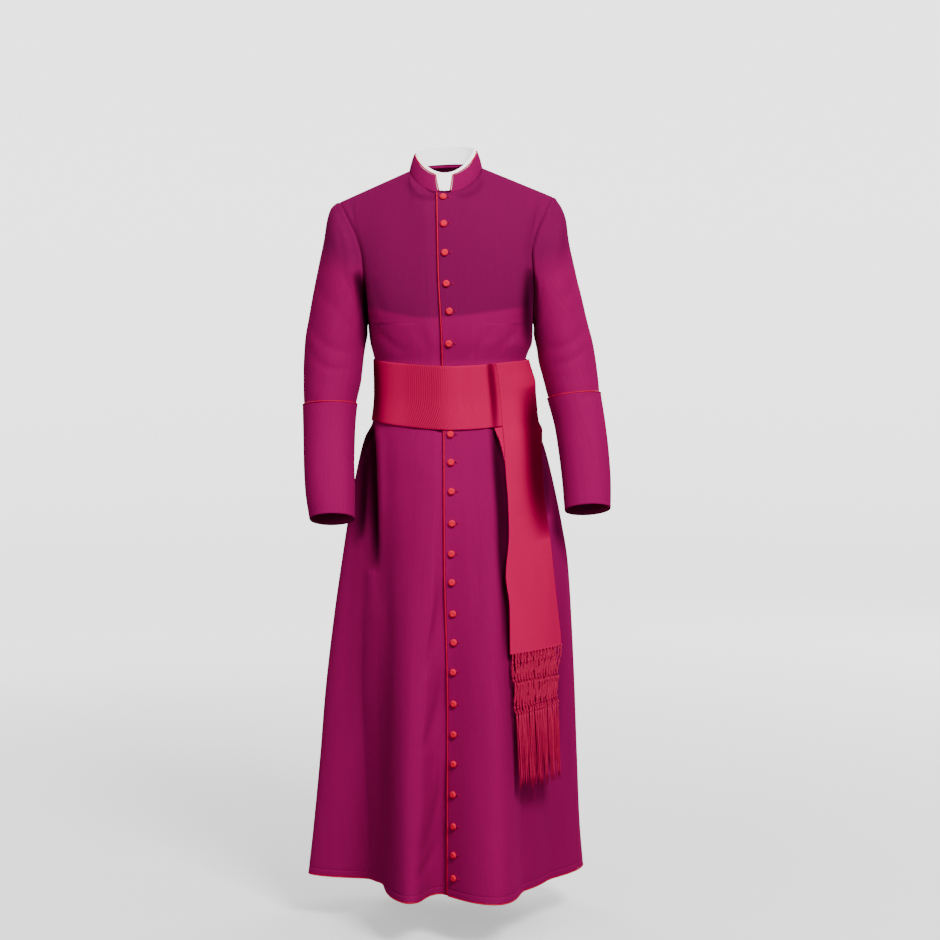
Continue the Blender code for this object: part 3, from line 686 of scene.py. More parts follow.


# Some creases also paint shade into the cloth's colour: near-black in the deep skirt folds and the hollows
# by the armholes, where the arms' shadows fall, and beside the fall's edges.
FRONT_CREASES = (
    Crease((-161, -440, -157, -510, -154, -560, -152, -620, -150, -680, -148, -740, -149, -800), 10, -20,
            lean=-0.1, painted_shade=0.93),
    Crease((-146, -710, -140, -790, -136, -880), 9, -2.5, lean=0.5),
    Crease((-164, -490, -163, -590, -161, -700, -160, -780), 4, 2),
    Crease((-131, -500, -128, -600, -126, -700), 7, 2),
    Crease((-160, -445, -167, -530, -170, -600, -172, -680, -175, -740), 8, -7, painted_shade=0.93),
    Crease((-176, -500, -181, -620, -188, -760), 8, -5, lean=0.4, painted_shade=0.45),
    Crease((-122, -740, -117, -900, -120, -1100, -122, -1300, -118, -1400), 11, -2.5),
    Crease((-100, -490, -96, -620, -98, -760, -104, -900), 16, 2.0),
    Crease((99, -440, 102, -510, 106, -569, 111, -628, 115, -687, 117, -765, 123, -863, 126, -970), 8, -15,
            lean=-0.4, painted_shade=0.9),
    Crease((86, -500, 90, -600, 95, -720), 9, 2.5),
    Crease((194, -490, 199, -560, 203, -620, 206, -690), 9, -5, painted_shade=0.85),
    # Painted shadow only, with no depth: it darkens the skirt behind the fringe so that the fringe's gaps
    # look dark.
    Crease((164, -850, 172, -945, 177, -1020, 181, -1100, 185, -1214), 37, 0, painted_shade=0.95),
    Crease((50, -500, 54, -640, 60, -800, 66, -960), 18, -1.5),
    Crease((-3, -800, -12, -860, -26, -930, -42, -1000), 9, -4.5, lean=0.5),
    Crease((-3, -980, -10, -1034, -24, -1090, -46, -1150), 9, -5.0, lean=0.5),
    Crease((-3, -1170, -11, -1230, -25, -1300, -42, -1350), 9, -5.0, lean=0.5),
    Crease((-3, -1286, -14, -1326, -34, -1368, -58, -1396), 9, -4.0, lean=0.5),
    Crease((-20, -1180, -40, -1260, -62, -1330), 16, 2.2),
    Crease((-66, -520, -60, -680, -58, -860, -64, -1040), 20, -1.6),
    Crease((-182, -640, -192, -800, -205, -1000, -214, -1180), 17, -2.2),
    Crease((-160, -860, -166, -1020, -176, -1200, -186, -1380), 16, 2.0),
    Crease((216, -700, 226, -860, 236, -1050, 244, -1260), 15, -2.4),
    Crease((150, -1200, 156, -1290, 160, -1400), 16, -2.0),
    Crease((84, -960, 92, -1120, 102, -1290), 17, 1.8),
    Crease((-80, -12, -68, -36, -52, -50, -30, -52, -12, -50), 5, -1.6, painted_shade=0.25),
    Crease((76, -12, 64, -34, 44, -46, 20, -50), 5, -1.6, painted_shade=0.2),
    Crease((92, -30, 78, -56, 54, -66), 8, -0.7),
    Crease((190, -44, 184, -80, 178, -120, 172, -170), 6, -2.2),
    Crease((174, -60, 168, -110, 160, -160), 9, 1.5),
    Crease((-192, -52, -186, -90, -176, -150, -164, -200), 6, -2.2),
    Crease((-150, -210, -138, -250, -118, -290), 12, -1.6),
    Crease((168, -190, 167, -234, 166, -275, 167, -310, 170, -352), 12, -1.5, painted_shade=0.93),
    Crease((-160, -270, -156, -300, -154, -325, -150, -356), 5, -0.5, painted_shade=0.85),
    Crease((-140, -310, -112, -338, -76, -360), 9, -1.6),
    Crease((146, -306, 124, -334, 96, -356), 9, -1.8),
    Crease((96, -300, 74, -334, 46, -362), 10, -1.2),
    Crease((-60, -296, -46, -330, -24, -366), 11, -1.2),
)
BACK_CREASES = (
    behind((-150, -470, -148, -600, -156, -780, -168, -960), 9, -4, 0.5),
    behind((-96, -490, -92, -640, -98, -820, -106, -1010), 12, -3, 0.3),
    behind((-36, -480, -34, -620, -30, -820, -34, -1060), 13, -3),
    behind((34, -480, 38, -650, 44, -850, 50, -1020), 11, -3.2, 0.2),
    behind((98, -480, 102, -620, 112, -800, 122, -1000), 12, -3, 0.4),
    behind((152, -470, 160, -620, 172, -790, 186, -980), 9, -4, 0.2),
    behind((-66, -500, -64, -700, -70, -900), 14, 2.2),
    behind((70, -500, 76, -680, 84, -880), 14, 2.2),
    behind((-120, -960, -128, -1130, -140, -1320), 18, -2.2),
    behind((8, -960, 4, -1130, 10, -1330), 18, -2.4),
    behind((130, -980, 142, -1140, 152, -1320), 18, -2.2),
    behind((-142, -320, -110, -340, -70, -358), 9, -2.0),
    behind((150, -314, 116, -338, 78, -356), 9, -2.0),
    behind((-150, -240, -120, -280, -84, -310), 13, -2.2),
    behind((158, -232, 124, -276, 86, -312), 13, -2.2),
    behind((-196, -60, -184, -120, -172, -190), 7, -2.4),
    behind((196, -56, 186, -116, 176, -186), 7, -2.4),
    behind((-60, -2, -20, -22, 30, -22, 64, -2), 9, -1.4),
    behind((-20, -60, -12, -170, -16, -300), 16, -1.6),
)
LEFT_SLEEVE_CREASES = (
    Crease((222, -70, 214, -112, 206, -170, 200, -230), 7, -2.4),
    Crease((236, -84, 232, -130, 222, -190), 9, 1.6),
    Crease((270, -200, 252, -236, 224, -262), 11, -1.6),
    Crease((286, -300, 262, -330, 226, -348, 198, -352), 9, -2.6, 0.4),
    Crease((292, -334, 270, -362, 236, -380, 206, -384), 8, -2.2),
    Crease((240, -250, 236, -310, 244, -370), 15, 2.0),
    Crease((312, -430, 288, -446, 252, -452), 9, -1.4),
    Crease((260, -480, 270, -560, 276, -640), 17, -1.6),
    Crease((300, -470, 306, -560, 308, -650), 15, 1.2),
    behind((284, -300, 256, -338, 214, -360), 10, -3.0),
    behind((296, -360, 266, -384, 220, -396), 9, -2.4),
    behind((230, -110, 222, -180, 214, -250), 12, -2.0),
    behind((270, -470, 276, -560, 282, -640), 16, -1.8),
)
# The second crease paints near-black shade beside the armhole seam, with little depth.
RIGHT_SLEEVE_CREASES = (
    Crease((-222, -74, -212, -118, -204, -178, -194, -240), 7, -2.2),
    Crease((-178, -196, -169, -228, -163, -262, -160, -300, -162, -352), 10, -1.5, painted_shade=0.95),
    Crease((-238, -96, -232, -150, -220, -210), 10, 1.4),
    Crease((-262, -210, -244, -250, -214, -276), 11, -1.4),
    Crease((-276, -300, -250, -336, -214, -356, -184, -360), 9, -2.4, 0.4),
    Crease((-280, -344, -256, -376, -222, -392, -190, -392), 8, -2.0),
    Crease((-232, -250, -228, -320, -232, -390), 15, 2.0),
    Crease((-286, -440, -262, -456, -226, -462), 9, -1.3),
    Crease((-232, -480, -234, -570, -230, -660), 17, -1.6),
    Crease((-270, -480, -268, -580, -262, -670), 15, 1.2),
    behind((-276, -310, -248, -344, -206, -366), 10, -3.0),
    behind((-284, -366, -254, -390, -208, -402), 9, -2.4),
    behind((-230, -120, -220, -190, -208, -260), 12, -2.0),
    behind((-236, -490, -234, -580, -230, -660), 16, -1.8),
)
# Both paint shade: the first beside the fall's left edge in a shallow tuck, the second, with no depth, on
# the wearer's right side of the band.
BAND_CREASES = (
    Crease((86, -352, 90, -400, 95, -450, 99, -530), 6, -3.0, painted_shade=0.75),
    Crease((-146, -352, -144, -400, -142, -450, -141, -530), 11, 0.0, painted_shade=0.85),
)
# The first paints the shadow of the wearer's left sleeve onto the fall's outer part, over a trough.
FALL_CREASES = (
    Crease((176, -425, 180, -470, 184, -515, 188, -569, 190, -620, 195, -670, 206, -730), 24, -7, painted_shade=0.93),
    Crease((140, -400, 146, -480, 150, -580, 148, -680), 14, 4),
    Crease((146, -700, 154, -800, 166, -920), 14, -1.4),
    Crease((200, -760, 206, -860, 214, -940), 9, 1.4),
)


# Cloth pieces


@dataclass(frozen=True)
class Cut:
    """Flat size of a cloth piece before it was sewn and worn, in metres."""

    width: float
    length: float
    area: float


@dataclass
class ClothGrid:
    """Cloth as rows of points from its lower edge up, with its outer face outwards."""

    points: Points
    closed: bool = False

    def normals(self) -> Points:
        """Outward direction square to the cloth at each point."""
        return unit(np.cross(run_of(self.points, 1, self.closed), run_of(self.points, 0)))

    def raised(self, height: Values) -> "ClothGrid":
        """The same cloth moved out by a height at each point."""
        height = np.broadcast_to(height, self.points.shape[:2])
        return ClothGrid(self.points + self.normals() * height[..., None], self.closed)

    def looped(self) -> Points:
        """The points, with the first column once more at the end where the cloth is closed."""
        return np.concatenate([self.points, self.points[:, :1]], axis=1) if self.closed else self.points

    def along_rows(self) -> Points:
        """Distance of each point along its row, with one more column where it is closed."""
        steps = np.linalg.norm(np.diff(self.looped(), axis=1), axis=-1)
        return np.concatenate([np.zeros((len(steps), 1)), np.cumsum(steps, axis=1)], axis=1)

    def up_columns(self) -> Points:
        """Distance of each point up its column."""
        steps = np.linalg.norm(np.diff(self.points, axis=0), axis=-1)
        return np.concatenate([np.zeros((1, steps.shape[1])), np.cumsum(steps, axis=0)])

    def below_top(self) -> Points:
        """Distance of each point down its column from the top."""
        up = self.up_columns()
        return up[-1:] - up

    def edge_distance(self) -> Points:
        """Distance along the row to the nearer end of it."""
        across = self.along_rows()
        return np.minimum(across, across[:, -1:] - across)

    def mesh(self, name: str, marks: dict[str, Points]) -> Mesh:
        """Make the mesh of the cloth's outer face, with its cloth map in metres.

        Args:
            name: Name of the mesh.
            marks: Share of painted upper shade, ribs or painted fold shade at each point, by its attribute's
                name.

        Returns:
            The mesh.
        """
        rows, columns = self.points.shape[:2]
        ends = columns if self.closed else columns - 1
        row, column = np.meshgrid(np.arange(rows - 1), np.arange(ends), indexing="ij")
        following = (column + 1) % columns
        corners = [(row, column), (row, following), (row + 1, following), (row + 1, column)]
        faces = np.stack([r * columns + c for r, c in corners], axis=-1).reshape(-1, 4)
        mesh = bpy.data.meshes.new(name)
        mesh.from_pydata((self.points.reshape(-1, 3) * MM).tolist(), [], faces.tolist())
        across = self.along_rows()
        across = across - across[:, across.shape[1] // 2, None]
        up = self.up_columns()
        steps = [(row, column), (row, column + 1), (row + 1, column + 1), (row + 1, column)]
        places = [np.stack([across[r, c], up[r, c % columns]], axis=-1) for r, c in steps]
        layer = mesh.uv_layers.new(name=CLOTH_MAP)
        layer.uv.foreach_set("vector", (np.stack(places, axis=2) * MM).astype(np.float32).ravel())
        for label, shares in marks.items():
            mark = mesh.attributes.new(label, "FLOAT", "POINT")
            mark.data.foreach_set("value", shares.astype(np.float32).ravel())
        mesh.shade_smooth()
        return mesh


@dataclass
class MeshBatch:
    """Points, faces and cloth map of a mesh that is put together from many small shapes."""

    points: list[Points] = field(default_factory=list)
    faces: list[list[int]] = field(default_factory=list)
    places: list[Pair] = field(default_factory=list)
    count: int = 0

    def add_grid(self, grid: Points, closed: bool = False, ends: bool = False) -> None:
        """Add a grid of rows whose points go round it.

        Args:
            grid: Rows of points in mm, each row going round.
            closed: Whether the last row joins the first.
            ends: Whether the first and last rows are filled.
        """
        rows, sides = grid.shape[:2]
        rises = np.concatenate([[0.0], np.linalg.norm(np.diff(grid[:, 0], axis=0), axis=-1)])
        rises = np.cumsum(np.append(rises, rises[1])) * MM
        girth = np.linalg.norm(grid[0, 1] - grid[0, 0]) * MM
        for r in range(rows if closed else rows - 1):
            for c in range(sides):
                corners = ((r, c), (r, c + 1), (r + 1, c + 1), (r + 1, c))
                self.faces.append([self.count + i % rows * sides + j % sides for i, j in corners])
                self.places += [(j * girth, rises[i]) for i, j in corners]
        if ends:
            last = self.count + (rows - 1) * sides
            self.faces.append([self.count + c for c in reversed(range(sides))])
            self.faces.append([last + c for c in range(sides)])
            self.places += [(0.0, 0.0)] * sides + [(0.0, rises[-2])] * sides
        self.points.append(grid.reshape(-1, 3))
        self.count += rows * sides

    def add_tube(self, line: Points, radius: Values, sides: int, away: Points | Triple,
                 closed: bool = False) -> None:
        """Add a round tube along a line of points.

        Args:
            line: Points of its middle line in mm.
            radius: Its radius, or one for each point.
            sides: Number of its sides.
            away: Direction, or one for each point, that isn't along the line.
            closed: Whether its last point joins its first.
        """
        run = unit(run_of(line, 0, closed))
        aside = unit(np.cross(run, np.broadcast_to(away, run.shape)))
        over = np.cross(aside, run)
        turns = 2 * math.pi * np.arange(sides) / sides
        radius = np.broadcast_to(radius, len(line))[:, None, None]
        ring = np.cos(turns)[None, :, None] * aside[:, None] - np.sin(turns)[None, :, None] * over[:, None]
        self.add_grid(line[:, None] + ring * radius, closed, not closed)

    def mesh(self, name: str) -> Mesh:
        """Make the mesh of all the shapes that were added.

        Args:
            name: Name of the mesh.

        Returns:
            The mesh.
        """
        mesh = bpy.data.meshes.new(name)
        mesh.from_pydata((np.concatenate(self.points) * MM).tolist(), [], self.faces)
        layer = mesh.uv_layers.new(name=CLOTH_MAP)
        layer.uv.foreach_set("vector", np.asarray(self.places, np.float32).ravel())
        mesh.shade_smooth()
        return mesh


def placed(name: str, data: ID) -> Object:
    """Put a new object in the scene.

    Args:
        name: Its name.
        data: Its mesh, lamp or camera data.

    Returns:
        The object.
    """
    made = bpy.data.objects.new(name, data)
    bpy.context.scene.collection.objects.link(made)
    return made


def add_piece(name: str, mesh: Mesh, material: Material, nodes: Sequence[str]) -> Object:
    """Put a piece in the scene, on the garment's body and in place of its solids.

    Args:
        name: Name of the piece.
        mesh: Its mesh, in metres.
        material: Its finish.
        nodes: Names of the solids that it stands for.

    Returns:
        The new object.
    """
    mesh.materials.append(material)
    piece = placed(name, mesh)
    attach(piece, BODY)
    if nodes:
        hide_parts(*nodes)
    log.info("%s: %d faces for %s", name, len(mesh.polygons), ", ".join(nodes) or "no solid")
    return piece


def add_cloth(name: str, grid: ClothGrid, thickness: float, material: Material,
              node: str, marks: dict[str, Points]) -> None:
    """Put a cloth piece in the scene, with its cloth's thickness.

    Args:
        name: Name of the piece.
        grid: Its outer face.
        thickness: Thickness of the cloth in mm.
        material: Its finish.
        node: Name of the solid that it stands for.
        marks: Share of painted upper shade, ribs or painted fold shade at each point, by its attribute's
            name.
    """
    piece = add_piece(name, grid.mesh(name, marks), material, [node])
    wall = piece.modifiers.new("Cloth", "SOLIDIFY")
    wall.thickness = thickness * MM
    wall.offset = -1.0


def add_cord(name: str, node: str, line: Points, radius: float, away: Points | Triple, material: Material,
             closed: bool = False) -> None:
    """Put a cord of the red piping in the scene.

    Args:
        name: Name of the piece.
        node: Name of the solid that it stands for.
        line: Points of its middle line in mm.
        radius: Its radius in mm.
        away: Direction, or one for each point, that isn't along the line.
        material: Its finish.
        closed: Whether its last point joins its first.
    """
    batch = MeshBatch()
    batch.add_tube(line, radius, CORD_SIDES, away, closed)
    add_piece(name, batch.mesh(name), material, [node])


# Finishes


class Paint:
    """Node board of one finish, with the cloth map in metres as its place."""

    def __init__(self, name: str) -> None:
        """Start a material with its Principled shader.

        Args:
            name: Name of the material.
        """
        self.material = bpy.data.materials.new(name)
        self.material.use_nodes = True
        self.tree = self.material.node_tree
        self.shader = self.tree.nodes["Principled BSDF"]
        self.place = self.node("ShaderNodeUVMap", uv_map=CLOTH_MAP).outputs["UV"]

    def node(self, kind: str, inputs: dict[str | int, Shade | Triple] | None = None,
             **settings: str) -> Node:
        """Add a node.

        Args:
            kind: Type of the node.
            inputs: Value or linked socket for each named or numbered input.
            **settings: The node's own properties.

        Returns:
            The node.
        """
        made = self.tree.nodes.new(kind)
        for name, value in settings.items():
            setattr(made, name, value)
        for name, value in (inputs or {}).items():
            self.feed(made.inputs[name], value)
        return made

    def feed(self, socket: NodeSocket, value: Shade | Triple) -> None:
        """Link a socket or set its own value.

        Args:
            socket: The socket.
            value: Socket that it is linked from, or its own value.
        """
        if isinstance(value, NodeSocket):
            self.tree.links.new(value, socket)
        else:
            socket.default_value = value

    def mark(self, name: str) -> NodeSocket:
        """Value of one of the cloth's marks."""
        return self.node("ShaderNodeAttribute", attribute_name=name).outputs["Fac"]

    def stretched(self, scale: Triple) -> NodeSocket:
        """The place, scaled along the cloth's width, length and depth."""
        return self.node("ShaderNodeMapping", {"Vector": self.place, "Scale": scale}).outputs["Vector"]

    def pattern(self, kind: str, inputs: dict[str, Shade], **settings: str) -> NodeSocket:
        """Strength of a pattern on the cloth map."""
        return self.node(kind, {"Vector": self.place} | inputs, **settings).outputs["Fac"]

    def noise(self, scale: Triple, detail: float = 2.0) -> NodeSocket:
        """Soft random pattern with so many bumps a metre each way."""
        inputs = {"Vector": self.stretched(scale), "Scale": 1.0, "Detail": detail, "Roughness": 0.55}
        return self.pattern("ShaderNodeTexNoise", inputs)

    def bands(self, direction: str, pitch: float, wander: float = 0.0) -> NodeSocket:
        """Round ridges that follow one another in a direction, so many mm apart."""
        inputs = {"Scale": 2 * math.pi / (20.0 * pitch * MM), "Distortion": wander, "Detail": 1.0}
        return self.pattern("ShaderNodeTexWave", inputs, bands_direction=direction)

    def maths(self, operation: str, first: Shade, second: Shade) -> NodeSocket:
        """One sum on two values."""
        return self.node("ShaderNodeMath", {0: first, 1: second}, operation=operation).outputs["Value"]

    def ranged(self, value: Shade, low: float, high: float) -> NodeSocket:
        """A value from 0 to 1 set between low and high."""
        inputs = {"Value": value, "To Min": low, "To Max": high}
        return self.node("ShaderNodeMapRange", inputs).outputs["Result"]

    def blended(self, share: Shade, first: Shade, second: Shade) -> NodeSocket:
        """Colour between two colours."""
        return self.node("ShaderNodeMix", {0: share, 6: first, 7: second}, data_type="RGBA").outputs[2]

    def shaded(self, colour: Shade, shadow: Colour) -> NodeSocket:
        """A colour that goes over to a painted shadow colour where the cloth's painted shade mark is set."""
        return self.blended(self.mark(PAINTED_SHADE_MARK), colour, shadow)

    def bump(self, height: NodeSocket, distance: float, strength: float = 1.0,
             after: NodeSocket | None = None) -> NodeSocket:
        """Relief from a height that stands so many mm high, on top of an earlier relief."""
        inputs = {"Height": height, "Distance": distance * MM, "Strength": strength}
        return self.node("ShaderNodeBump", inputs | ({} if after is None else {"Normal": after})).outputs[0]

    def finish(self, colour: Shade, roughness: Shade, normal: NodeSocket | None = None,
               **fixed: float | Colour) -> Material:
        """Wire the shader and set its fixed values.

        Args:
            colour: Base colour or its socket.
            roughness: Roughness or its socket.
            normal: Socket of the relief.
            **fixed: Other sockets, with underscores for their spaces.

        Returns:
            The material.
        """
        self.feed(self.shader.inputs["Base Color"], colour)
        self.feed(self.shader.inputs["Roughness"], roughness)
        if normal is not None:
            self.feed(self.shader.inputs["Normal"], normal)
        for name, value in fixed.items():
            self.shader.inputs[name.replace("_", " ")].default_value = value
        return self.material


@dataclass(frozen=True)
class WoolFinish:
    """Fine smooth wool in a plain weave, with painted shade over its upper part and in its deep folds."""

    name: str = "wool_cloth"
    deep: Colour = (0.215, 0.0024, 0.066, 1.0)
    light: Colour = (0.300, 0.0030, 0.092, 1.0)
    # Painted shade colour of the cloth's upper part, above the line across the chest, back and sleeves.
    upper_shade_colour: Colour = (0.146, 0.0044, 0.056, 1.0)
    # Painted shadow colour of the deep folds, the armhole hollows and the cast shadows.
    shadow: Colour = (0.014, 0.0006, 0.0045, 1.0)
    thread: float = 0.55

    def material(self) -> Material:
        """Make the finish.

        Returns:
            The material.
        """
        paint = Paint(self.name)
        streaks = paint.noise((330.0, 6.0, 1.0), 3.0)
        clouds = paint.noise((8.0, 3.0, 1.0))
        tone = paint.maths("ADD", paint.ranged(streaks, -0.1, 0.55), paint.ranged(clouds, 0.0, 0.6))
        colour = paint.blended(tone, self.deep, self.light)
        # Painted shade: the colour darkens above the line on the upper body and goes near-black where the
        # fold shade mark is set.
        upper_shade = paint.mark(MARK)
        upper_shade_colour = paint.blended(paint.ranged(streaks, -0.15, 0.6), self.upper_shade_colour, self.deep)
        colour = paint.shaded(paint.blended(upper_shade, colour, upper_shade_colour), self.shadow)
        weave = paint.maths("MULTIPLY", paint.bands("X", self.thread), paint.bands("Y", self.thread))
        slubs = paint.noise((900.0, 120.0, 1.0), 2.0)
        relief = paint.bump(weave, 0.05)
        relief = paint.bump(slubs, 0.10, 1.0, relief)
        relief = paint.bump(paint.noise((30.0, 18.0, 1.0), 2.0), 0.7, 0.35, relief)
        return paint.finish(colour, paint.ranged(slubs, 0.58, 0.76), relief, Sheen_Weight=0.10,
                            Sheen_Roughness=0.5, Sheen_Tint=(1.0, 0.03, 0.40, 1.0),
                            Specular_IOR_Level=0.0)


@dataclass(frozen=True)
class SilkFinish:
    """Ribbed silk whose ribs run one way."""

    name: str
    grain: Grain
    deep: Colour = (0.24, 0.0028, 0.030, 1.0)
    light: Colour = (0.52, 0.0004, 0.074, 1.0)
    # Painted shadow colour of the sash's shaded creases and of the sleeve's shadow on the fall.
    shadow: Colour = (0.030, 0.0004, 0.003, 1.0)
    rib: float = 4.4

    def material(self) -> Material:
        """Make the finish.

        Returns:
            The material.
        """
        paint = Paint(self.name)
        ribs = paint.bands(self.grain.value, self.rib, 0.25)
        streaks = paint.noise((160.0, 3.0, 1.0) if self.grain is Grain.UPRIGHT else (12.0, 3.0, 1.0), 3.0)
        marked = paint.mark(MARK)
        shade = paint.maths("MULTIPLY", marked, paint.ranged(ribs, 0.7, 0.0))
        plain = paint.maths("MULTIPLY", marked, paint.ranged(streaks, 0.0, 0.2))
        tone = paint.maths("SUBTRACT", paint.ranged(streaks, 0.72, 1.0), paint.maths("ADD", shade, plain))
        # Painted shade: the colour goes over to the shadow colour where the painted shade mark is set.
        colour = paint.shaded(paint.blended(tone, self.deep, self.light), self.shadow)
        relief = paint.bump(paint.maths("MULTIPLY", ribs, paint.ranged(marked, 0.12, 1.0)), 0.2)
        return paint.finish(colour, paint.ranged(streaks, 0.40, 0.55), relief, Sheen_Weight=0.08,
                            Sheen_Roughness=0.4, Sheen_Tint=(1.0, 0.0, 0.26, 1.0),
                            Specular_IOR_Level=0.0)


@dataclass(frozen=True)
class CordFinish:
    """Twisted cord or thread, with its strands slanting round it."""

    name: str
    deep: Colour
    light: Colour
    twist: float = 2.2
    roughness: float = 0.5

    def material(self) -> Material:
        """Make the finish.

        Returns:
            The material.
        """
        paint = Paint(self.name)
        strands = paint.bands("DIAGONAL", self.twist, 0.6)
        flecks = paint.noise((420.0, 90.0, 1.0), 2.0)
        tone = paint.maths("ADD", paint.ranged(strands, 0.0, 0.55), paint.ranged(flecks, 0.0, 0.45))
        colour = paint.blended(tone, self.deep, self.light)
        relief = paint.bump(strands, 0.25)
        rough = paint.ranged(flecks, self.roughness - 0.08, self.roughness + 0.08)
        return paint.finish(colour, rough, relief, Sheen_Weight=0.08, Sheen_Roughness=0.4,
                            Sheen_Tint=(1.0, 0.06, 0.25, 1.0), Specular_IOR_Level=0.05)


@dataclass(frozen=True)
class CoverFinish:
    """Close red cloth drawn over a button, darker in its gathers."""

    name: str = "covered_button"
    deep: Colour = (0.40, 0.0015, 0.020, 1.0)
    light: Colour = (0.86, 0.0040, 0.052, 1.0)

    def material(self) -> Material:
        """Make the finish.

        Returns:
            The material.
        """
        paint = Paint(self.name)
        weave = paint.maths("MULTIPLY", paint.bands("X", 0.5), paint.bands("Y", 0.5))
        worn = paint.noise((300.0, 300.0, 1.0), 2.0)
        colour = paint.blended(paint.ranged(worn, 0.25, 0.95), self.deep, self.light)
        relief = paint.bump(weave, 0.05)
        relief = paint.bump(worn, 0.12, 0.6, relief)
        return paint.finish(colour, paint.ranged(worn, 0.42, 0.56), relief, Sheen_Weight=0.12,
                            Sheen_Roughness=0.4, Sheen_Tint=(1.0, 0.10, 0.2, 1.0),
                            Specular_IOR_Level=0.12, Specular_Tint=(1.0, 0.25, 0.3, 1.0))


@dataclass(frozen=True)
class LinenFinish:
    """Pressed white linen, which glows with painted light so that it looks whiter."""

    name: str = "white_linen"
    deep: Colour = (0.88, 0.88, 0.87, 1.0)
    light: Colour = (0.96, 0.96, 0.95, 1.0)

    def material(self) -> Material:
        """Make the finish.

        Returns:
            The material.
        """
        paint = Paint(self.name)
        weave = paint.maths("MULTIPLY", paint.bands("X", 0.6), paint.bands("Y", 0.6))
        slubs = paint.noise((350.0, 60.0, 1.0), 2.0)
        colour = paint.blended(slubs, self.deep, self.light)
        relief = paint.bump(weave, 0.06)
        # Painted light: the linen glows though it is no lamp.
        return paint.finish(colour, paint.ranged(slubs, 0.5, 0.65), relief, Emission_Strength=1.15,
                            Emission_Color=(1.0, 1.0, 1.0, 1.0))


@dataclass(frozen=True)
class FloorFinish:
    """Plain pale studio floor that glows more the further it lies from the garment."""

    name: str = "pale_floor"
    deep: Colour = (0.76, 0.76, 0.76, 1.0)
    light: Colour = (0.79, 0.79, 0.79, 1.0)
    low_glow: float = 0.60
    near_reach: Pair = (1.6, 4.2)
    near_gain: float = 0.9
    far_reach: Pair = (3.0, 9.0)
    far_gain: float = 1.1

    def material(self) -> Material:
        """Make the finish.

        Returns:
            The material.
        """
        paint = Paint(self.name)
        colour = paint.blended(paint.noise((0.6, 0.6, 1.0), 1.0), self.deep, self.light)
        place = paint.node("ShaderNodeNewGeometry").outputs["Position"]
        away = paint.node("ShaderNodeVectorMath", {0: place}, operation="LENGTH").outputs["Value"]
        gains = []
        for reach, gain in ((self.near_reach, self.near_gain), (self.far_reach, self.far_gain)):
            gains.append(paint.node("ShaderNodeMapRange", {
                "Value": away, "From Min": reach[0], "From Max": reach[1],
                "To Max": gain}).outputs["Result"])
        glow = paint.maths("ADD", self.low_glow, paint.maths("ADD", *gains))
        paint.feed(paint.shader.inputs["Emission Strength"], glow)
        return paint.finish(colour, 0.9, Emission_Color=(1.0, 0.995, 0.985, 1.0))


# Sub-assemblies


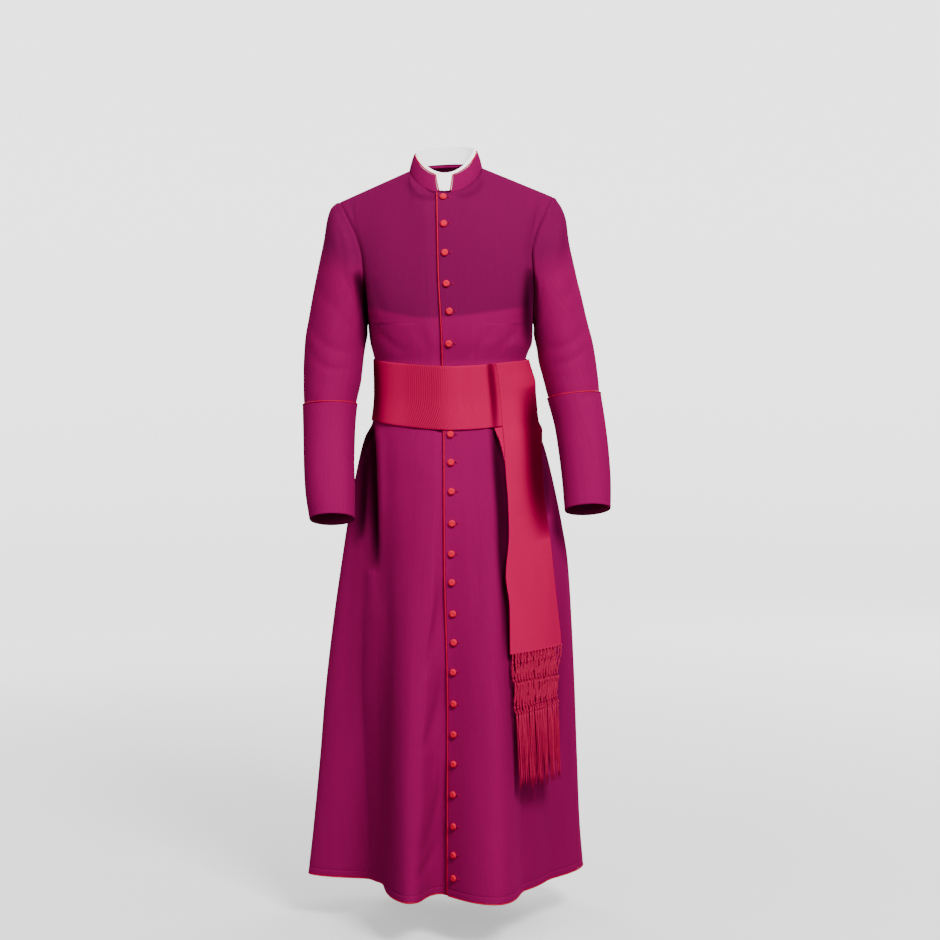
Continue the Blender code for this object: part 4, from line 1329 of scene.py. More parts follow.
@dataclass
class Panels:
    """Left front, right front and back of the body."""

    finish: Material
    seam_width: float = 2.4
    seam_depth: float = 1.1
    hem_fold: float = 12.0
    hem_rows: Numbers = (0, 0.8, 2, 4.5, 7.5, 9.5, 10.7, 11.4, 12, 12.6, 13.3, 14.5, 17, 21)
    underlap_turn: float = 13.0
    underlap_drop: float = 4.6
    underlap_ramp: float = 11.0
    underlap_clear: float = 2.5
    # Line across the body above which the colour takes painted shade, and how softly it sets in.
    upper_shade_places: Numbers = (-149.0, -42.0, 149.0)
    upper_shade_heights: Numbers = (-269.0, -289.0, -269.0)
    upper_shade_blur: float = 9.0
    seam_reach: float = 14.0
    hem_groove: float = 0.5
    hem_groove_width: float = 1.6
    sash_levels: Pair = (-520.0, -366.0)
    sash_blur: float = 16.0
    sash_press: float = 0.4
    skirt_rows: int = 208
    yoke_rows: int = 60
    front_columns: int = 116
    back_columns: int = 150

    def levels(self) -> Points:
        """Set out the rows, closer at the hem and at both ends of the yoke.

        Returns:
            Their levels.
        """
        hem = HEM + np.array(self.hem_rows)
        skirt = np.linspace(hem[-1], CHEST, self.skirt_rows + 1)
        yoke = mix(CHEST, YOKE_TOP, fine_ends(self.yoke_rows, 1.0))
        return np.concatenate([hem, skirt[1:], yoke[1:]])

    def underlap_lift(self, turn: Points, level: Points) -> Points:
        """How far the right front drops as it runs under the left front."""
        share = turn - FORM.edge_turn(level) + self.underlap_ramp
        return -self.underlap_drop * eased(share / (self.underlap_ramp - self.underlap_clear))

    def upper_shade_share(self, points: Points) -> Points:
        """Share of painted shade at each point of the body, above a line that dips across the chest."""
        edge = Curve(self.upper_shade_places, self.upper_shade_heights)(points[..., 0])
        return eased(0.5 + (points[..., 2] - edge) / self.upper_shade_blur)

    def hang(self, name: str, node: str, grid: ClothGrid, creases: Sequence[Crease], seams: Points) -> None:
        """Give a panel its creases, its drawn-in seams and the fold of its hem.

        Args:
            name: Name of the piece.
            node: Name of the solid that it stands for.
            grid: The plain cloth.
            creases: Creases that lie on it.
            seams: Distance of each point along its row from the nearest seam.
        """
        seams = np.minimum(seams, grid.below_top())
        height, painted_shade = pressed(creases, grid.points)
        level = grid.points[..., 2]
        low, high = self.sash_levels
        under_sash = eased((level - low) / self.sash_blur) * eased((high - level) / self.sash_blur)
        height = mix(height, np.minimum(height, self.sash_press), under_sash)
        height = height * eased(seams / self.seam_reach)
        height = height - self.seam_depth * bell(seams, self.seam_width)
        groove = self.hem_groove * bell(level - HEM, self.hem_groove_width, self.hem_fold)
        grid = grid.raised(height - groove)
        add_cloth(name, grid, CLOTH, self.finish, node,
                  {MARK: self.upper_shade_share(grid.points), PAINTED_SHADE_MARK: painted_shade})

    def front(self, hand: Hand) -> None:
        """Build one front.

        Args:
            hand: The side that it is on.
        """
        levels = self.levels()[:, None]
        edge = FORM.edge_turn(levels)
        shares = fine_ends(self.front_columns)[None]
        if hand is Hand.LEFT:
            turns = mix(edge, FORM.side_turn - FORM.seam_turn, shares)
            grid = ClothGrid(FORM.point(turns, levels))
            seams = grid.along_rows()
            seams = seams[:, -1:] - seams
            reach = FORM.wide_sink
        else:
            turns = mix(FORM.seam_turn - FORM.side_turn, edge + self.underlap_turn, shares)
            lift = self.underlap_lift(turns, np.broadcast_to(levels, turns.shape))
            grid = ClothGrid(FORM.lifted(turns, levels, lift))
            seams = grid.along_rows()
            reach = FORM.narrow_sink
        grid.points += FORM.armhole_sink(levels, seams, Face.FRONT, reach)
        self.hang(f"{hand.word}_front", f"front_{hand.word}", grid, FRONT_CREASES, seams)

    def back(self) -> None:
        """Build the back."""
        levels = self.levels()[:, None]
        side = FORM.side_turn + FORM.seam_turn
        turns = mix(side, 360.0 - side, fine_ends(self.back_columns)[None])
        grid = ClothGrid(FORM.point(turns, levels))
        grid.points += FORM.armhole_sink(levels, grid.edge_distance(), Face.BACK, FORM.back_sink)
        self.hang("back_panel", "back", grid, BACK_CREASES, grid.edge_distance())

    def build(self) -> None:
        """Build the three panels."""
        self.front(Hand.LEFT)
        self.front(Hand.RIGHT)
        self.back()


@dataclass
class Sleeve:
    """Set-in sleeve with its turned-back cuff and the cord on the cuff."""

    hand: Hand
    rings: Sequence[Ring]
    creases: Sequence[Crease]
    finish: Material
    cord: Material
    columns: int = 104
    rows: int = 150
    cuff_rows: int = 56
    cuff_ring: int = 8
    cuff_lift: float = 2.3
    cord_radius: float = 1.25
    cord_gap: float = 0.3
    end_stop: float = 2.0
    armhole_middle: float = -3.0
    armhole_half_depth: float = 70.0
    cap_blend: Numbers = (1.0, 0.55, 0.28, 0.12, 0.0)
    # Sloping line above which the sleeve's colour takes painted shade, how softly it sets in, and the reach
    # of the slope.
    upper_shade_levels: Pair = (-196.0, -160.0)
    upper_shade_blur: float = 80.0
    upper_shade_reach: Pair = (180.0, 270.0)
    row_bias: float = 1.15
    crease_share: float = 0.6
    seam_reach: float = 14.0
    cuff_clear: float = 0.6
    cuff_fade: float = 0.5
    cuff_press: float = 0.9
    cap_ridges: tuple[Triple, ...] = ((1.5, 5.0, 6.0), (-1.0, 2.2, 0.0))
    cuff_end_ridges: tuple[Triple, ...] = ((-0.7, 1.5, 0.0), (-0.4, 1.2, 9.0))
    cuff_top_ridges: tuple[Triple, ...] = ((-0.3, 1.2, 0.0),)

    def __post_init__(self) -> None:
        """Make the curves of the rings from the armhole down."""
        self.turns = 2 * math.pi * np.arange(self.columns) / self.columns
        self.levels = mix(CHEST, YOKE_TOP, (1 + np.cos(self.turns)) / 2)
        self.armhole = self.armhole_loop()
        sign = self.hand.value
        outer = self.armhole[0]
        inner = self.armhole[self.columns // 2]
        first = Ring(outer[0] * sign, outer[2], inner[0] * sign, inner[2], self.armhole_middle,
                     self.armhole_half_depth, 0)
        table = [first, *self.rings]
        places = range(len(table))
        names = ("outer_x", "outer_z", "inner_x", "inner_z", "middle_y", "half_depth", "tilt")
        self.shape = {name: Curve(places, [getattr(ring, name) for ring in table]) for name in names}
        blend = [*self.cap_blend, *[0.0] * (len(table) - len(self.cap_blend))]
        self.blend = Curve(places, blend)
        self.last = len(table) - 1

    def armhole_loop(self) -> Points:
        """Find the armhole seam, from the shoulder tip round by the front.

        Returns:
            Its points.
        """
        ahead = FORM.point(self.hand.value * (FORM.side_turn - FORM.seam_turn), self.levels)
        after = FORM.point(self.hand.value * (FORM.side_turn + FORM.seam_turn), self.levels)
        points = np.where((self.turns < math.pi)[:, None], ahead, after)
        for end in (0, self.columns // 2):
            points[end] = (ahead[end] + after[end]) / 2
        return points

    def ring(self, place: Sequence[float], lift: float = 0.0) -> Points:
        """Find points round the sleeve.

        Args:
            place: Places along its table of rings.
            lift: How far the points lie off the sleeve.

        Returns:
            A row of points for each place.
        """
        place = np.asarray(place, float)[:, None]
        read = {name: curve(place) for name, curve in self.shape.items()}
        sign = self.hand.value
        outer = joined(sign * read["outer_x"], read["middle_y"], read["outer_z"])
        inner = joined(sign * read["inner_x"], read["middle_y"], read["inner_z"])
        across = (outer - inner) / 2
        across = across + unit(across) * lift
        tilt = np.radians(read["tilt"])
        along = joined(0.0, -np.cos(tilt), np.sin(tilt)) * (read["half_depth"] + lift)[..., None]
        round_arm = self.turns[None, :, None]
        return (outer + inner) / 2 + across * np.cos(round_arm) + along * np.sin(round_arm)

    def facing(self, rows: Points) -> Points:
        """Rows from the lowest up, with their points going round so that they face out."""
        rows = rows[::-1]
        return rows[:, ::-1] if self.hand is Hand.LEFT else rows

    def middle(self, rows: Points) -> Points:
        """Y of the sleeve's middle at each row."""
        return rows[..., 1].mean(axis=1, keepdims=True)

    def upper_shade_share(self, points: Points) -> Points:
        """Share of painted shade at each point of the sleeve, above a line that rises towards its outer
        side.
        """
        edge = mix(*self.upper_shade_levels, share_between(np.abs(points[..., 0]), *self.upper_shade_reach))
        return eased(0.5 + (points[..., 2] - edge) / self.upper_shade_blur)

    def sleeve(self) -> None:
        """Build the sleeve from the armhole to just short of the cuff's edge."""
        word = self.hand.word
        place = self.last * np.linspace(0.0, 1.0, self.rows + 1) ** self.row_bias
        bend = self.armhole - self.ring([0.0])[0]
        rows = self.ring(place) + bend[None] * self.blend(place)[:, None, None]
        away = ClothGrid(rows).up_columns()
        ahead = (self.turns < math.pi)[None, :, None]
        reach = FORM.narrow_sink if self.hand is Hand.LEFT else FORM.wide_sink
        rows = rows + np.where(ahead, FORM.armhole_sink(self.levels, away, Face.FRONT, reach),
                               FORM.armhole_sink(self.levels, away, Face.BACK, FORM.back_sink))
        rows[-1] += unit(rows[-2] - rows[-1]) * self.end_stop
        grid = ClothGrid(self.facing(rows), closed=True)
        top = grid.below_top()
        free = 1 - eased((place[::-1, None] - self.cuff_ring - self.cuff_clear) / self.cuff_fade)
        height, painted_shade = pressed(self.creases, grid.points, self.middle(grid.points))
        height = height * self.crease_share * eased(top / self.seam_reach) * free
        grid = grid.raised(height - self.cuff_press * (1 - free) + ridged(top, self.cap_ridges))
        add_cloth(f"{word}_sleeve", grid, CLOTH, self.finish, f"sleeve_{word}",
                  {MARK: self.upper_shade_share(grid.points), PAINTED_SHADE_MARK: painted_shade})

    def cuff(self) -> None:
        """Build the turned-back cuff and the cord along its top."""
        word = self.hand.word
        place = mix(float(self.cuff_ring + 1), float(self.last), fine_ends(self.cuff_rows))
        grid = ClothGrid(self.facing(self.ring(place, self.cuff_lift)), closed=True)
        height, painted_shade = pressed(self.creases, grid.points, self.middle(grid.points))
        grid = grid.raised(height * self.crease_share)
        grid = grid.raised(ridged(grid.up_columns(), self.cuff_end_ridges)
                           + ridged(grid.below_top(), self.cuff_top_ridges))
        add_cloth(f"{word}_cuff", grid, CLOTH, self.finish, f"cuff_{word}",
                  {PAINTED_SHADE_MARK: painted_shade})
        lift = self.cord_radius + 2 * self.cord_gap
        upper = self.ring([float(self.cuff_ring + 1)], lift)[0]
        above = self.ring([float(self.cuff_ring)], lift)[0]
        line = upper + unit(above[:1] - upper[:1]) * (self.cord_radius + self.cord_gap * 0.3)
        add_cord(f"{word}_cuff_cord", f"piping_cuff_{word}", line, self.cord_radius, (0.0, 0.3, 1.0),
                 self.cord, closed=True)

    def build(self) -> None:
        """Build the sleeve and its cuff."""
        self.sleeve()
        self.cuff()


@dataclass
class Collar:
    """Standing collar with its cord and the white band inside it."""

    finish: Material
    cord: Material
    linen: Material
    height: float = 31.0
    lean: float = 9.0
    lap: float = 0.2
    seat: float = 1.1
    foot: float = -1.8
    thickness: float = 2.6
    notch_left: Pair = (8.0, 14.0)
    notch_right: Pair = (-12.0, -20.0)
    cord_radius: float = 1.3
    cord_gap: float = 0.4
    cord_foot: float = 0.05
    cord_spread: float = 1.15
    columns: int = 170
    rows: int = 26
    band_shows: float = 8.0
    band_gap: float = 1.0
    band_foot: float = 4.5
    band_front_foot: float = 3.0
    band_thickness: float = 1.4
    band_rows: int = 24
    band_ridges: tuple[Triple, ...] = ((-0.5, 0.9, 0.0), (0.15, 0.8, 3.0))
    swell: float = 0.8
    swell_reach: float = 6.0
    # Share of painted shade over the whole collar.
    upper_shade_share: float = 0.35
    cord_rises: int = 9
    cord_points: int = 130

    def point(self, angle: Points, height: Points, inset: float = 0.0) -> Points:
        """Points at a height above the neck seam, so far inside the collar's outer face."""
        out = outward(FORM.neck(angle)) * (self.lap - self.lean * height / self.height - inset)[..., None]
        return FORM.neck(angle) + out + joined(0.0, 0.0, height + self.seat)

    def ends(self, share: Values) -> tuple[Values, Values]:
        """Angles of the two notch edges at a share of the collar's height."""
        return (mix(self.notch_left[0], self.notch_left[1], share),
                360.0 + mix(self.notch_right[0], self.notch_right[1], share))

    def collar(self) -> None:
        """Build the collar."""
        share = np.linspace(0.0, 1.0, self.rows + 1)[:, None]
        angles = mix(*self.ends(share), fine_ends(self.columns)[None])
        grid = ClothGrid(self.point(angles, mix(self.foot, self.height, share)))
        swell = self.swell * np.sin(math.pi * share)
        grid = grid.raised(swell * eased(grid.edge_distance() / self.swell_reach))
        add_cloth("standing_collar", grid, self.thickness, self.finish, "collar",
                  {MARK: np.full(grid.points.shape[:2], self.upper_shade_share)})

    def edge_cord(self) -> None:
        """Build the cord round the collar's free edges."""
        off = self.cord_radius + self.cord_gap * 0.5
        aside = math.degrees(self.cord_spread * off / FORM.neck_half_width)
        rises = np.linspace(self.cord_foot, 1.0, self.cord_rises)
        left, right = self.ends(rises)
        top = np.linspace(*self.ends(1.0), self.cord_points)
        angles = np.concatenate([left - aside, top, right[::-1] + aside])
        heights = np.concatenate([rises * self.height, np.full_like(top, self.height + off),
                                  rises[::-1] * self.height])
        line = self.point(angles, heights, self.thickness / 2)
        add_cord("collar_cord", "piping_collar", line, self.cord_radius, outward(line), self.cord)

    def band(self) -> None:
        """Build the white neckband."""
        inset = self.thickness + self.band_gap
        share = fine_ends(self.band_rows)[:, None]
        angles = 360.0 * np.arange(self.columns)[None] / self.columns
        open_front = eased(2.5 * np.cos(np.radians(angles)) - 1.5)
        foot = mix(self.band_foot, self.band_front_foot, open_front)
        rows = self.point(angles, mix(foot, self.height + self.band_shows, share), inset)
        grid = ClothGrid(rows, closed=True)
        grid = grid.raised(ridged(grid.below_top(), self.band_ridges))
        add_cloth("white_neckband", grid, self.band_thickness, self.linen, "neckband",
                  {})

    def build(self) -> None:
        """Build the collar, its cord and the neckband."""
        self.collar()
        self.edge_cord()
        self.band()


@dataclass
class EdgeCords:
    """Cord down the left front's edge and along the hem."""

    panels: Panels
    cord: Material
    radius: float = 1.6
    gap: float = 0.25
    top_stop: float = 0.5
    front_points: int = 420

    def front(self) -> None:
        """Build the cord down the left front."""
        levels = np.linspace(HEM, YOKE_TOP - self.top_stop, self.front_points)
        turn = FORM.edge_turn(levels)
        point = FORM.lifted(turn, levels, -CLOTH / 2)
        aside = unit(FORM.lifted(turn - 1.0, levels, -CLOTH / 2) - point)
        line = point + aside * (self.radius + self.gap)
        line[0, 2] += self.radius
        add_cord("front_edge_cord", "piping_front", line, self.radius, (0.0, -1.0, 0.0), self.cord)

    def hem(self, name: str, node: str, turns: Points, lift: Points) -> None:
        """Build the cord along a hem that stands so far off the body's surface."""
        line = FORM.lifted(turns, HEM, lift - CLOTH / 2) - joined(0.0, 0.0, self.radius + self.gap)
        add_cord(name, node, line, self.radius, (0.0, 0.0, 1.0), self.cord)

    def build(self) -> None:
        """Build all four cords."""
        self.front()
        start = float(FORM.edge_turn(HEM))
        side = FORM.side_turn
        left = np.linspace(start, side, 150)
        self.hem("left_hem_cord", "piping_hem_front_left", left, np.zeros_like(left))
        back = np.linspace(side, 360.0 - side, 260)
        self.hem("back_hem_cord", "piping_hem_back", back, np.zeros_like(back))
        right = np.linspace(-side, start + self.panels.underlap_turn, 170)
        lift = self.panels.underlap_lift(right, np.full_like(right, HEM))
        self.hem("right_hem_cord", "piping_hem_front_right", right, lift)


@dataclass(frozen=True)
class Button:
    """Height and distance from the centre line of one button."""

    height: float
    x: float


BUTTONS = [Button(*row) for row in (
    (-51, -5), (-104, -4), (-161, -2), (-222, 1), (-276, 7), (-340, 6), (-519, 9), (-574, 10),
    (-631, 11), (-694, 12), (-754, 11), (-811, 12), (-873, 14), (-930, 16), (-989, 15), (-1052, 16),
    (-1113, 16), (-1172, 16), (-1233, 15), (-1296, 16), (-1353, 16), (-1399, 16),
)]


@dataclass
class Fastening:
    """Covered buttons and the worked holes that they close."""

    cover: Material
    wool_thread: Material
    red_thread: Material
    profile: tuple[Pair, ...] = (
        (0.3, 4.75), (1.6, 4.85), (2.6, 5.15), (3.6, 5.3), (4.8, 5.05), (5.9, 4.4),
        (6.7, 3.5), (7.15, 2.5), (7.3, 1.6), (7.1, 0.9), (6.4, 0.35), (5.0, 0.05), (0.4, 0.0))
    stretch: float = 5.4 / 5.3
    segments: int = 32
    gathers: int = 15
    gather_depth: float = 0.018
    gather_top: float = 3.2
    gather_reach: float = 2.5
    seat_gap: float = 0.2
    hole_lift: float = 0.3
    hole_start: float = 3.0
    hole_end: float = 12.6
    rim_rise: float = 0.8
    rim_radius: float = 0.55
    bar_half: float = 1.7
    bar_radius: float = 0.8

    def dome(self) -> Mesh:
        """Turn a button with a shallow dimple and gathers underneath.

        Returns:
            Its mesh.
        """
        turns = 2 * math.pi * np.arange(self.segments) / self.segments
        rows = []
        for reach, rise in self.profile:
            pull = self.gather_depth * share_between(self.gather_top - rise, 0.0, self.gather_reach)
            reach = reach * (1 + pull * np.cos(self.gathers * turns))
            rows.append(joined(reach * np.cos(turns), reach * np.sin(turns), rise * self.stretch))
        batch = MeshBatch()
        batch.add_grid(np.stack(rows)[::-1], ends=True)
        return batch.mesh("covered_button")

    def seats(self) -> list[tuple[Points, Points]]:
        """Find where the buttons are sewn on.

        Returns:
            The place and the outward direction of each one's seat.
        """
        found = []
        top = FORM.yoke_top(np.zeros(1))[0, 2]
        for button in BUTTONS:
            level = button.height
            if level > CHEST:
                level = mix(CHEST, YOKE_TOP, share_between(level, CHEST, top))
            turn = FORM.turn_at(button.x, level)
            found.append((FORM.point(turn, level), FORM.normal(turn, level)))
        return found

    def build(self) -> None:
        """Build the buttons and their worked holes."""
        rims = MeshBatch()
        bars = MeshBatch()
        for number, (seat, out) in enumerate(self.seats(), 1):
            name = f"covered_button_{number:02d}"
            spin = Vector(out).to_track_quat("Z", "Y").to_matrix().to_4x4()
            mesh = self.dome()
            mesh.transform(Matrix.Translation(Vector(seat + out * self.seat_gap) * MM) @ spin)
            add_piece(name, mesh, self.cover, [f"button_{number:02d}"])
            aside = unit(np.cross(np.array((0.0, 0.0, 1.0)), out))
            up = np.cross(out, aside)
            start = seat + out * self.hole_lift
            for rise in (-self.rim_rise, self.rim_rise):
                run = np.linspace(self.hole_start, self.hole_end, 8)[:, None]
                rims.add_tube(start + aside * run + up * rise, self.rim_radius, 6, out)
            run = np.linspace(-self.bar_half, self.bar_half, 5)[:, None]
            bars.add_tube(start + aside * (self.hole_end + 0.3) + up * run, self.bar_radius, 8, out)
        add_piece("buttonhole_rims", rims.mesh("buttonhole_rims"), self.wool_thread, [])
        add_piece("buttonhole_bars", bars.mesh("buttonhole_bars"), self.red_thread, [])


@dataclass
class FallForm:
    """Surface that a sash fall and its fringe lie on."""

    edges: Sequence[FallEdge]

    def __post_init__(self) -> None:
        """Read both edges' turns and the stand-off down the fall."""
        levels = np.linspace(self.edges[0].level, self.edges[-1].level, 160)
        left = column_curve(self.edges, "level", "left_x")(levels)
        right = column_curve(self.edges, "level", "right_x")(levels)
        self.left = Curve(levels, SMOOTH_FORM.turn_at(left, levels))
        self.right = Curve(levels, SMOOTH_FORM.turn_at(right, levels))
        self.stand_off = column_curve(self.edges, "level", "stand_off")

    def turn(self, across: Values, level: Values) -> Points:
        """Turns of places on the fall: across runs from its left edge to its right edge."""
        return mix(self.left(level), self.right(level), across)

    def point(self, across: Values, level: Values, lift: Values) -> Points:
        """Points of the fall, which stands off the body towards its right edge."""
        lift = lift + across ** 2 * self.stand_off(level)
        return SMOOTH_FORM.lifted(self.turn(across, level), level, lift)


@dataclass
class Sash:
    """Silk band round the waist with its two hanging falls."""

    band_silk: Material
    fall_silk: Material
    thickness: float = 1.5
    lift: float = 3.3
    top: float = -373.0
    top_dip: float = 11.0
    bottom: float = -496.0
    bottom_dip: float = 15.0
    dip_curve: float = 1.5
    fall_lift: float = 5.5
    fall_end: float = -953.0
    fall_slant: float = 9.0
    rear_fall_end: float = -912.0
    seam_gap: float = 0.5
    band_columns: int = 300
    band_rows: int = 30
    fall_columns: int = 44
    band_wave: float = 0.6
    band_roll: float = 0.7
    band_roll_width: float = 1.8
    rib_turn: float = -24.0
    rib_spread: float = 19.0
    least_ribs: float = 0.12
    side_ribs: float = 0.6
    side_turns: Pair = (80.0, 100.0)
    fall_crease_share: float = 0.8
    fall_wave: float = 0.5
    fall_roll: float = 0.6
    fall_roll_width: float = 1.4

    def __post_init__(self) -> None:
        """Make the surfaces of both falls."""
        self.front_form = FallForm(FRONT_FALL)
        self.rear_form = FallForm(REAR_FALL)

    def edge(self, turn: Points, side: float, dip: float) -> Points:
        """Height of a sash edge, lower in front than at the sides."""
        return side - dip * np.maximum(0.0, np.cos(np.radians(turn))) ** self.dip_curve

    def band(self) -> None:
        """Build the band."""
        turns = 360.0 * np.arange(self.band_columns)[None] / self.band_columns
        share = fine_ends(self.band_rows)[:, None]
        level = mix(self.edge(turns, self.bottom, self.bottom_dip), self.edge(turns, self.top, self.top_dip),
                    share)
        turns = np.broadcast_to(turns, level.shape)
        grid = ClothGrid(SMOOTH_FORM.lifted(turns, level, np.full_like(level, self.lift)), closed=True)
        wave = 0.5 * np.sin(np.radians(turns * 9.0 + 40.0 * share)) + 0.4 * np.sin(np.radians(turns * 17.0))
        rolled = sum(bell(ends, self.band_roll_width) for ends in (grid.up_columns(), grid.below_top()))
        tucked, painted_shade = pressed(BAND_CREASES, grid.points)
        grid = grid.raised(wave * self.band_wave - self.band_roll * rolled + tucked)
        side = signed(turns)
        ribbed = mix(self.least_ribs, 1.0, np.exp(-(((side - self.rib_turn) / self.rib_spread) ** 4)))
        ribbed = mix(ribbed, self.side_ribs, eased(share_between(np.abs(side), *self.side_turns)))
        add_cloth("waist_band", grid, self.thickness, self.band_silk, "sash_band",
                  {MARK: ribbed, PAINTED_SHADE_MARK: painted_shade})

    def fall(self, name: str, node: str, form: FallForm, bottom: float, slant: float, side: float,
             dip: float, lift: float, rows: int) -> None:
        """Build one fall.

        Args:
            name: Name of the piece.
            node: Name of the solid that it stands for.
            form: The surface that it lies on.
            bottom: Level of its lower end at its left edge.
            slant: How much higher its lower end is at its right edge.
            side: Height of the sash edge that it hangs from.
            dip: How much lower that edge is in front.
            lift: How far it lies off the body.
            rows: Number of its rows.
        """
        across = fine_ends(self.fall_columns)[None]
        top = self.edge(form.turn(across, np.full_like(across, side)), side, dip)
        level = mix(bottom + slant * across, top, np.linspace(0.0, 1.0, rows + 1)[:, None])
        across = np.broadcast_to(across, level.shape)
        grid = ClothGrid(form.point(across, level, np.full_like(level, lift)))
        height, painted_shade = pressed(FALL_CREASES, grid.points)
        wave = self.fall_wave * np.sin(level / 60.0 + 2.0) * (across - 0.5)
        rolled = self.fall_roll * bell(grid.edge_distance(), self.fall_roll_width)
        grid = grid.raised(height * self.fall_crease_share + wave - rolled)
        add_cloth(name, grid, self.thickness, self.fall_silk, node,
                  {PAINTED_SHADE_MARK: painted_shade})

    def build(self) -> None:
        """Build the band and both falls."""
        self.band()
        self.fall("front_fall", "sash_fall_front", self.front_form, self.fall_end, self.fall_slant,
                  self.top + 1.0, self.top_dip, self.fall_lift, 230)
        self.fall("rear_fall", "sash_fall_rear", self.rear_form, self.rear_fall_end, 0.0,
                  self.bottom - 2 * self.seam_gap, self.bottom_dip, self.lift, 160)


@dataclass
class Threads:
    """Knots and threads that hang from one fall, all in one mesh.

    A spot is a place across the fall and a level.  A lift is how far off the body a
    thread lies.
    """

    form: FallForm
    seed: int
    width: float = 130.0
    cord: float = 1.0
    thread: float = 0.8
    threads: int = 7
    gathering: float = 0.38
    gaps: Numbers = (-0.02, 0.10, 0.24, 0.40, 0.55, 0.70, 0.86, 1.02)

    def __post_init__(self) -> None:
        """Start the mesh and the random draws."""
        self.batch = MeshBatch()
        self.random = np.random.default_rng(self.seed)

    def place(self, across: Values, level: Values, lift: Values) -> Points:
        """Find points of the threads.

        Args:
            across: Places across the fall, which may lie a little beyond its edges.
            level: Their levels.
            lift: Their lifts.

        Returns:
            The points.
        """
        across, level, lift = np.broadcast_arrays(np.asarray(across, float), level, lift)
        held = np.clip(across, 0.0, 1.0)
        points = self.form.point(held, level, lift)
        points[..., 0] += (across - held) * self.width
        return points

    def knot(self, spot: Pair, lift: float, size: Triple) -> None:
        """Add a small wound knot with a waist between its two turns.

        Args:
            spot: Its middle.
            lift: Its lift.
            size: Half its width, depth and height in mm.
        """
        centre = self.place([spot[0]], spot[1], lift)[0]
        turns = 2 * math.pi * np.arange(10) / 10
        rows = []
        for step in np.linspace(-1.0, 1.0, 7):
            girth = math.sqrt(max(0.05, 1 - step * step)) * (1 - 0.18 * math.exp(-(step / 0.25) ** 2))
            rows.append(centre + joined(size[0] * girth * np.cos(turns), size[1] * girth * np.sin(turns),
                                        size[2] * step))
        self.batch.add_grid(np.stack(rows), ends=True)

    def strand(self, start: Pair, end: Pair, lift: float) -> None:
        """Add two cords laid round each other between two spots.

        Args:
            start: Spot of their upper end.
            end: Spot of their lower end.
            lift: Their lift.
        """
        step = np.linspace(0.0, 1.0, 15)
        phase = self.random.uniform(0.0, 2 * math.pi)
        sway = 0.010 * self.random.normal() * np.sin(math.pi * step)
        for half in (0.0, math.pi):
            turn = phase + half + 2.2 * math.pi * step
            across = mix(start[0], end[0], step) + sway + 0.010 * np.cos(turn)
            line = self.place(across, mix(start[1], end[1], step), lift + 0.8 * np.sin(turn))
            self.batch.add_tube(line, self.cord, 6, (0.0, -1.0, 0.0))

    def gathered(self, across: float) -> float:
        """Across place that a thread is drawn to, at the middle of its bunch."""
        k = int(np.clip(np.searchsorted(self.gaps, across) - 1, 0, len(self.gaps) - 2))
        return mix(across, (self.gaps[k] + self.gaps[k + 1]) / 2, self.gathering)

    def tassel(self, spot: Pair, end: float, pitch: float, lift: float) -> None:
        """Add the free threads below one knot, bunched and uneven at their ends.

        Args:
            spot: Where they start.
            end: Level that they end near.
            pitch: Distance between knots, as a share of the fall's width.
            lift: Their lift.
        """
        middle, top = spot
        random = self.random
        step = np.linspace(0.0, 1.0, 13)
        drawn = self.gathered(middle) - middle
        for k in range(self.threads):
            offset = (k + 0.5) / self.threads - 0.5 + 0.08 * random.normal()
            across = middle + offset * pitch * mix(0.35, 0.95, eased(step * 2.4))
            across = across + drawn * eased(step * 2.2) + 0.010 * random.normal() * step ** 2
            across = across + 0.0035 * np.sin(step * random.uniform(4, 9) + random.uniform(0, 6)) * step
            level = mix(top, end + 6.0 * random.normal(), step)
            rise = lift + random.uniform(-1.6, 2.2) * eased(step * 4.0)
            radius = self.thread * mix(1.1, 0.8, step)
            self.batch.add_tube(self.place(across, level, rise), radius, 5, (0.0, -1.0, 0.0))


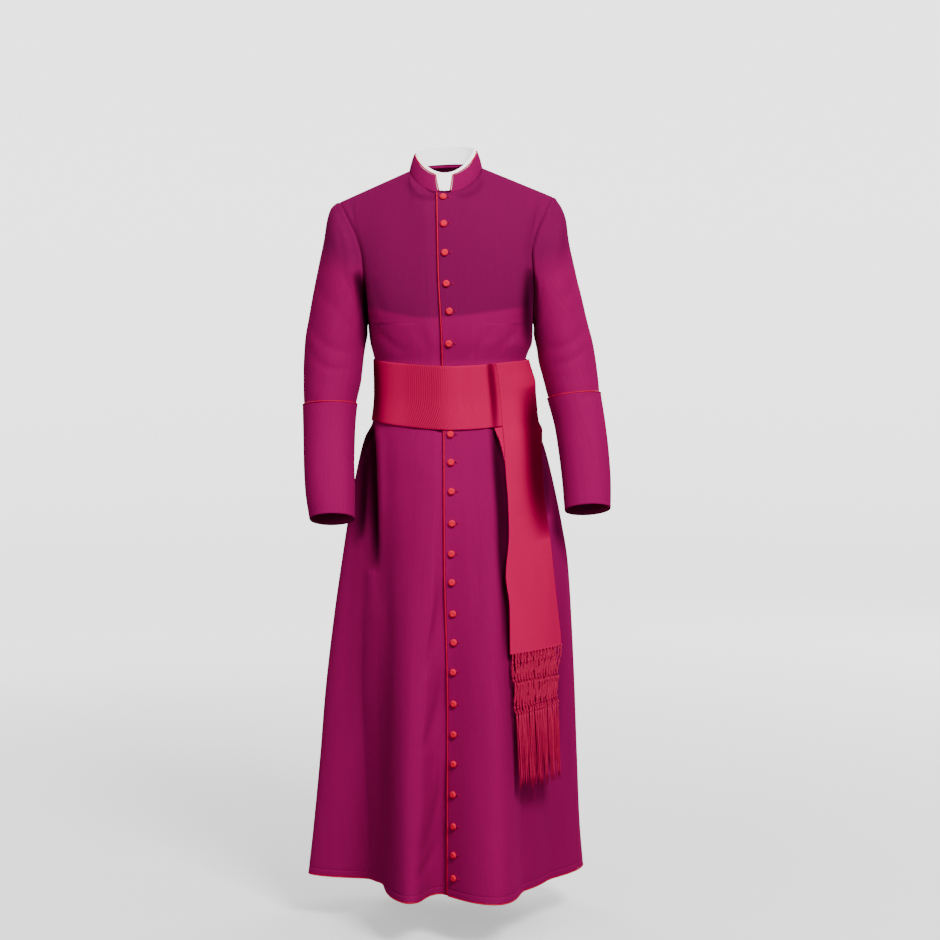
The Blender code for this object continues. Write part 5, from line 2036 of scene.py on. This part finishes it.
@dataclass
class Fringe:
    """Knotted fringe of the front fall and the plain one of the rear fall."""

    sash: Sash
    silk: Material
    tufts: int = 17
    levels: Numbers = (-957.0, -1009.0, -1063.0)
    slants: Numbers = (10.0, 7.0, 15.0)
    loop: float = 13.0
    lean: float = 1.1
    end: float = -1207.0
    rear_end: float = -1165.0
    rear_tufts: int = 24
    seed: int = 7

    def level(self, row: int, across: float) -> float:
        """Level of one of the knot rows."""
        return self.levels[row] + self.slants[row] * across

    def front(self) -> None:
        """Build the knotted fringe."""
        net = Threads(self.sash.front_form, self.seed)
        lift = self.sash.fall_lift - 0.4
        pitch = 1.0 / self.tufts
        lean = self.lean * pitch
        for i in range(self.tufts):
            middle = (i + 0.5) * pitch
            root = (middle, self.level(0, middle) - self.loop)
            net.strand((middle + 0.3 * lean, self.level(0, middle) + 6.0), root, lift + 0.2)
            net.knot(root, lift + 1.0, (2.2, 1.6, 2.4))
            places = [root]
            for row in (1, 2):
                across = middle - (row - 1) * 0.15 * lean
                places.append((across, self.level(row, across)))
            for row, (above, (across, low)) in enumerate(zip(places, places[1:])):
                start = (above[0] + 0.25 * lean * row, above[1] - 1.0)
                swung = (across - 0.5 * lean, low + 8.0)
                net.strand(start, swung, lift)
                if i + 1 < self.tufts:
                    net.strand(start, (across + 0.5 * lean, low + 9.0), lift - 1.2)
                net.knot((across - 0.5 * lean, low + 6.0), lift + 1.0, (2.3, 1.7, 2.8))
                net.strand(swung, (across, low - 7.0), lift - 0.3)
            across, low = places[-1]
            net.knot((across, low - 6.0), lift + 1.0, (2.2, 1.7, 3.0))
            net.tassel((across, low - 7.0), self.end + 4.0 * middle, pitch, lift)
        add_piece("front_fringe", net.batch.mesh("front_fringe"), self.silk, ["fringe_front"])

    def rear(self) -> None:
        """Build the plain fringe."""
        row = Threads(self.sash.rear_form, self.seed + 1)
        root = self.sash.rear_fall_end
        lift = self.sash.lift - 0.9
        pitch = 1.0 / self.rear_tufts
        for i in range(self.rear_tufts):
            middle = (i + 0.5) * pitch
            row.knot((middle, root - 2.5), lift + 0.8, (1.8, 1.1, 3.0))
            row.tassel((middle, root - 2.0), self.rear_end, pitch, lift)
        add_piece("rear_fringe", row.batch.mesh("rear_fringe"), self.silk, ["fringe_rear"])

    def build(self) -> None:
        """Build both fringes."""
        self.front()
        self.rear()


@dataclass
class Studio:
    """Camera, soft lights and the pale floor that sweeps up all round."""

    floor: Material
    floor_level: float = -1536.0
    floor_radius: float = 6500.0
    sweep: float = 2600.0
    wall_top: float = 5200.0
    camera_place: Triple = (19.3, -4458.0, -240.7)
    camera_tilt: float = 3.372
    camera_yaw: float = 0.377
    lens: float = 84.35
    shift_y: float = -0.05
    light_below: float = 0.12
    light_above: float = 0.34
    light_aim: Triple = (0.0, 0.0, -650.0)

    def camera(self) -> None:
        """Place the camera."""
        data = bpy.data.cameras.new("camera")
        data.lens = self.lens
        data.sensor_width = 36.0
        data.shift_y = self.shift_y
        camera = placed("camera", data)
        camera.location = Vector(self.camera_place) * MM
        camera.rotation_euler = (math.radians(90.0 - self.camera_tilt), 0.0, -math.radians(self.camera_yaw))
        bpy.context.scene.camera = camera

    def light(self, name: str, place: Triple, size: float, power: float) -> None:
        """Add a square soft light.

        Args:
            name: Name of the light.
            place: Its place in mm.
            size: Length of its side in metres.
            power: Its power in watts.
        """
        data = bpy.data.lights.new(name, "AREA")
        data.shape = "SQUARE"
        data.size = size
        data.energy = power
        lamp = placed(name, data)
        lamp.location = Vector(place) * MM
        lamp.rotation_euler = (Vector(self.light_aim) - Vector(place)).to_track_quat("-Z", "Y").to_euler()

    def bowl(self) -> None:
        """Build the floor, which curves up into a wall all round."""
        turns = 2 * math.pi * np.arange(96) / 96
        profile = [(1.0, self.floor_level), (self.floor_radius, self.floor_level)]
        for step in np.linspace(0.0, 1.0, 13)[1:]:
            angle = step * math.pi / 2
            profile.append((self.floor_radius + self.sweep * math.sin(angle),
                            self.floor_level + self.sweep * (1 - math.cos(angle))))
        profile.append((self.floor_radius + self.sweep, self.wall_top))
        rows = [joined(reach * np.cos(turns), reach * np.sin(turns), rise) for reach, rise in profile]
        batch = MeshBatch()
        batch.add_grid(np.stack(rows[::-1]))
        piece = placed("floor", batch.mesh("floor"))
        piece.data.materials.append(self.floor)
        piece.visible_diffuse = False
        piece.visible_glossy = False
        piece.visible_shadow = False

    def world(self) -> None:
        """Set the even light from all round."""
        world = bpy.data.worlds.new("studio")
        world.use_nodes = True
        tree = world.node_tree
        background = tree.nodes["Background"]
        background.inputs["Color"].default_value = (1.0, 1.0, 1.0, 1.0)
        place = tree.nodes.new("ShaderNodeTexCoord")
        parts = tree.nodes.new("ShaderNodeSeparateXYZ")
        strength = tree.nodes.new("ShaderNodeMapRange")
        strength.inputs["From Min"].default_value = -1.0
        strength.inputs["To Min"].default_value = self.light_below
        strength.inputs["To Max"].default_value = self.light_above
        tree.links.new(place.outputs["Generated"], parts.inputs["Vector"])
        tree.links.new(parts.outputs["Z"], strength.inputs["Value"])
        tree.links.new(strength.outputs["Result"], background.inputs["Strength"])
        bpy.context.scene.world = world

    def build(self) -> None:
        """Set up the studio."""
        self.camera()
        self.bowl()
        self.world()
        self.light("key", (1600.0, -3500.0, 2400.0), 1.4, 345.0)
        self.light("fill", (-3000.0, -3700.0, 900.0), 2.4, 65.0)
        self.light("rim", (-2400.0, 3200.0, 1900.0), 2.0, 90.0)
        self.light("back_fill", (2600.0, 3300.0, 1500.0), 2.4, 150.0)


def main() -> None:
    """Build the studio and the garment, piece by piece."""
    logging.basicConfig(level=logging.INFO, format="%(message)s")
    wool = WoolFinish().material()
    piping = CordFinish("red_piping", (0.34, 0.0012, 0.026, 1.0), (0.66, 0.0025, 0.056, 1.0)).material()
    wool_thread = CordFinish("wool_thread", (0.13, 0.002, 0.042, 1.0), (0.24, 0.004, 0.07, 1.0)).material()
    fringe_silk = CordFinish("silk_fringe", (0.25, 0.0050, 0.033, 1.0), (0.62, 0.0100, 0.088, 1.0), 1.6,
                             0.45).material()
    cover = CoverFinish().material()
    band_silk = SilkFinish("ribbed_silk_upright", Grain.UPRIGHT).material()
    fall_silk = SilkFinish("ribbed_silk_level", Grain.LEVEL).material()
    linen = LinenFinish().material()

    Studio(FloorFinish().material()).build()
    panels = Panels(wool)
    panels.build()
    Sleeve(Hand.LEFT, LEFT_SLEEVE, LEFT_SLEEVE_CREASES, wool, piping).build()
    Sleeve(Hand.RIGHT, RIGHT_SLEEVE, RIGHT_SLEEVE_CREASES, wool, piping).build()
    Collar(wool, piping, linen).build()
    EdgeCords(panels, piping).build()
    Fastening(cover, wool_thread, piping).build()
    sash = Sash(band_silk, fall_silk)
    sash.build()
    Fringe(sash, fringe_silk).build()


if __name__ == "__main__":
    main()
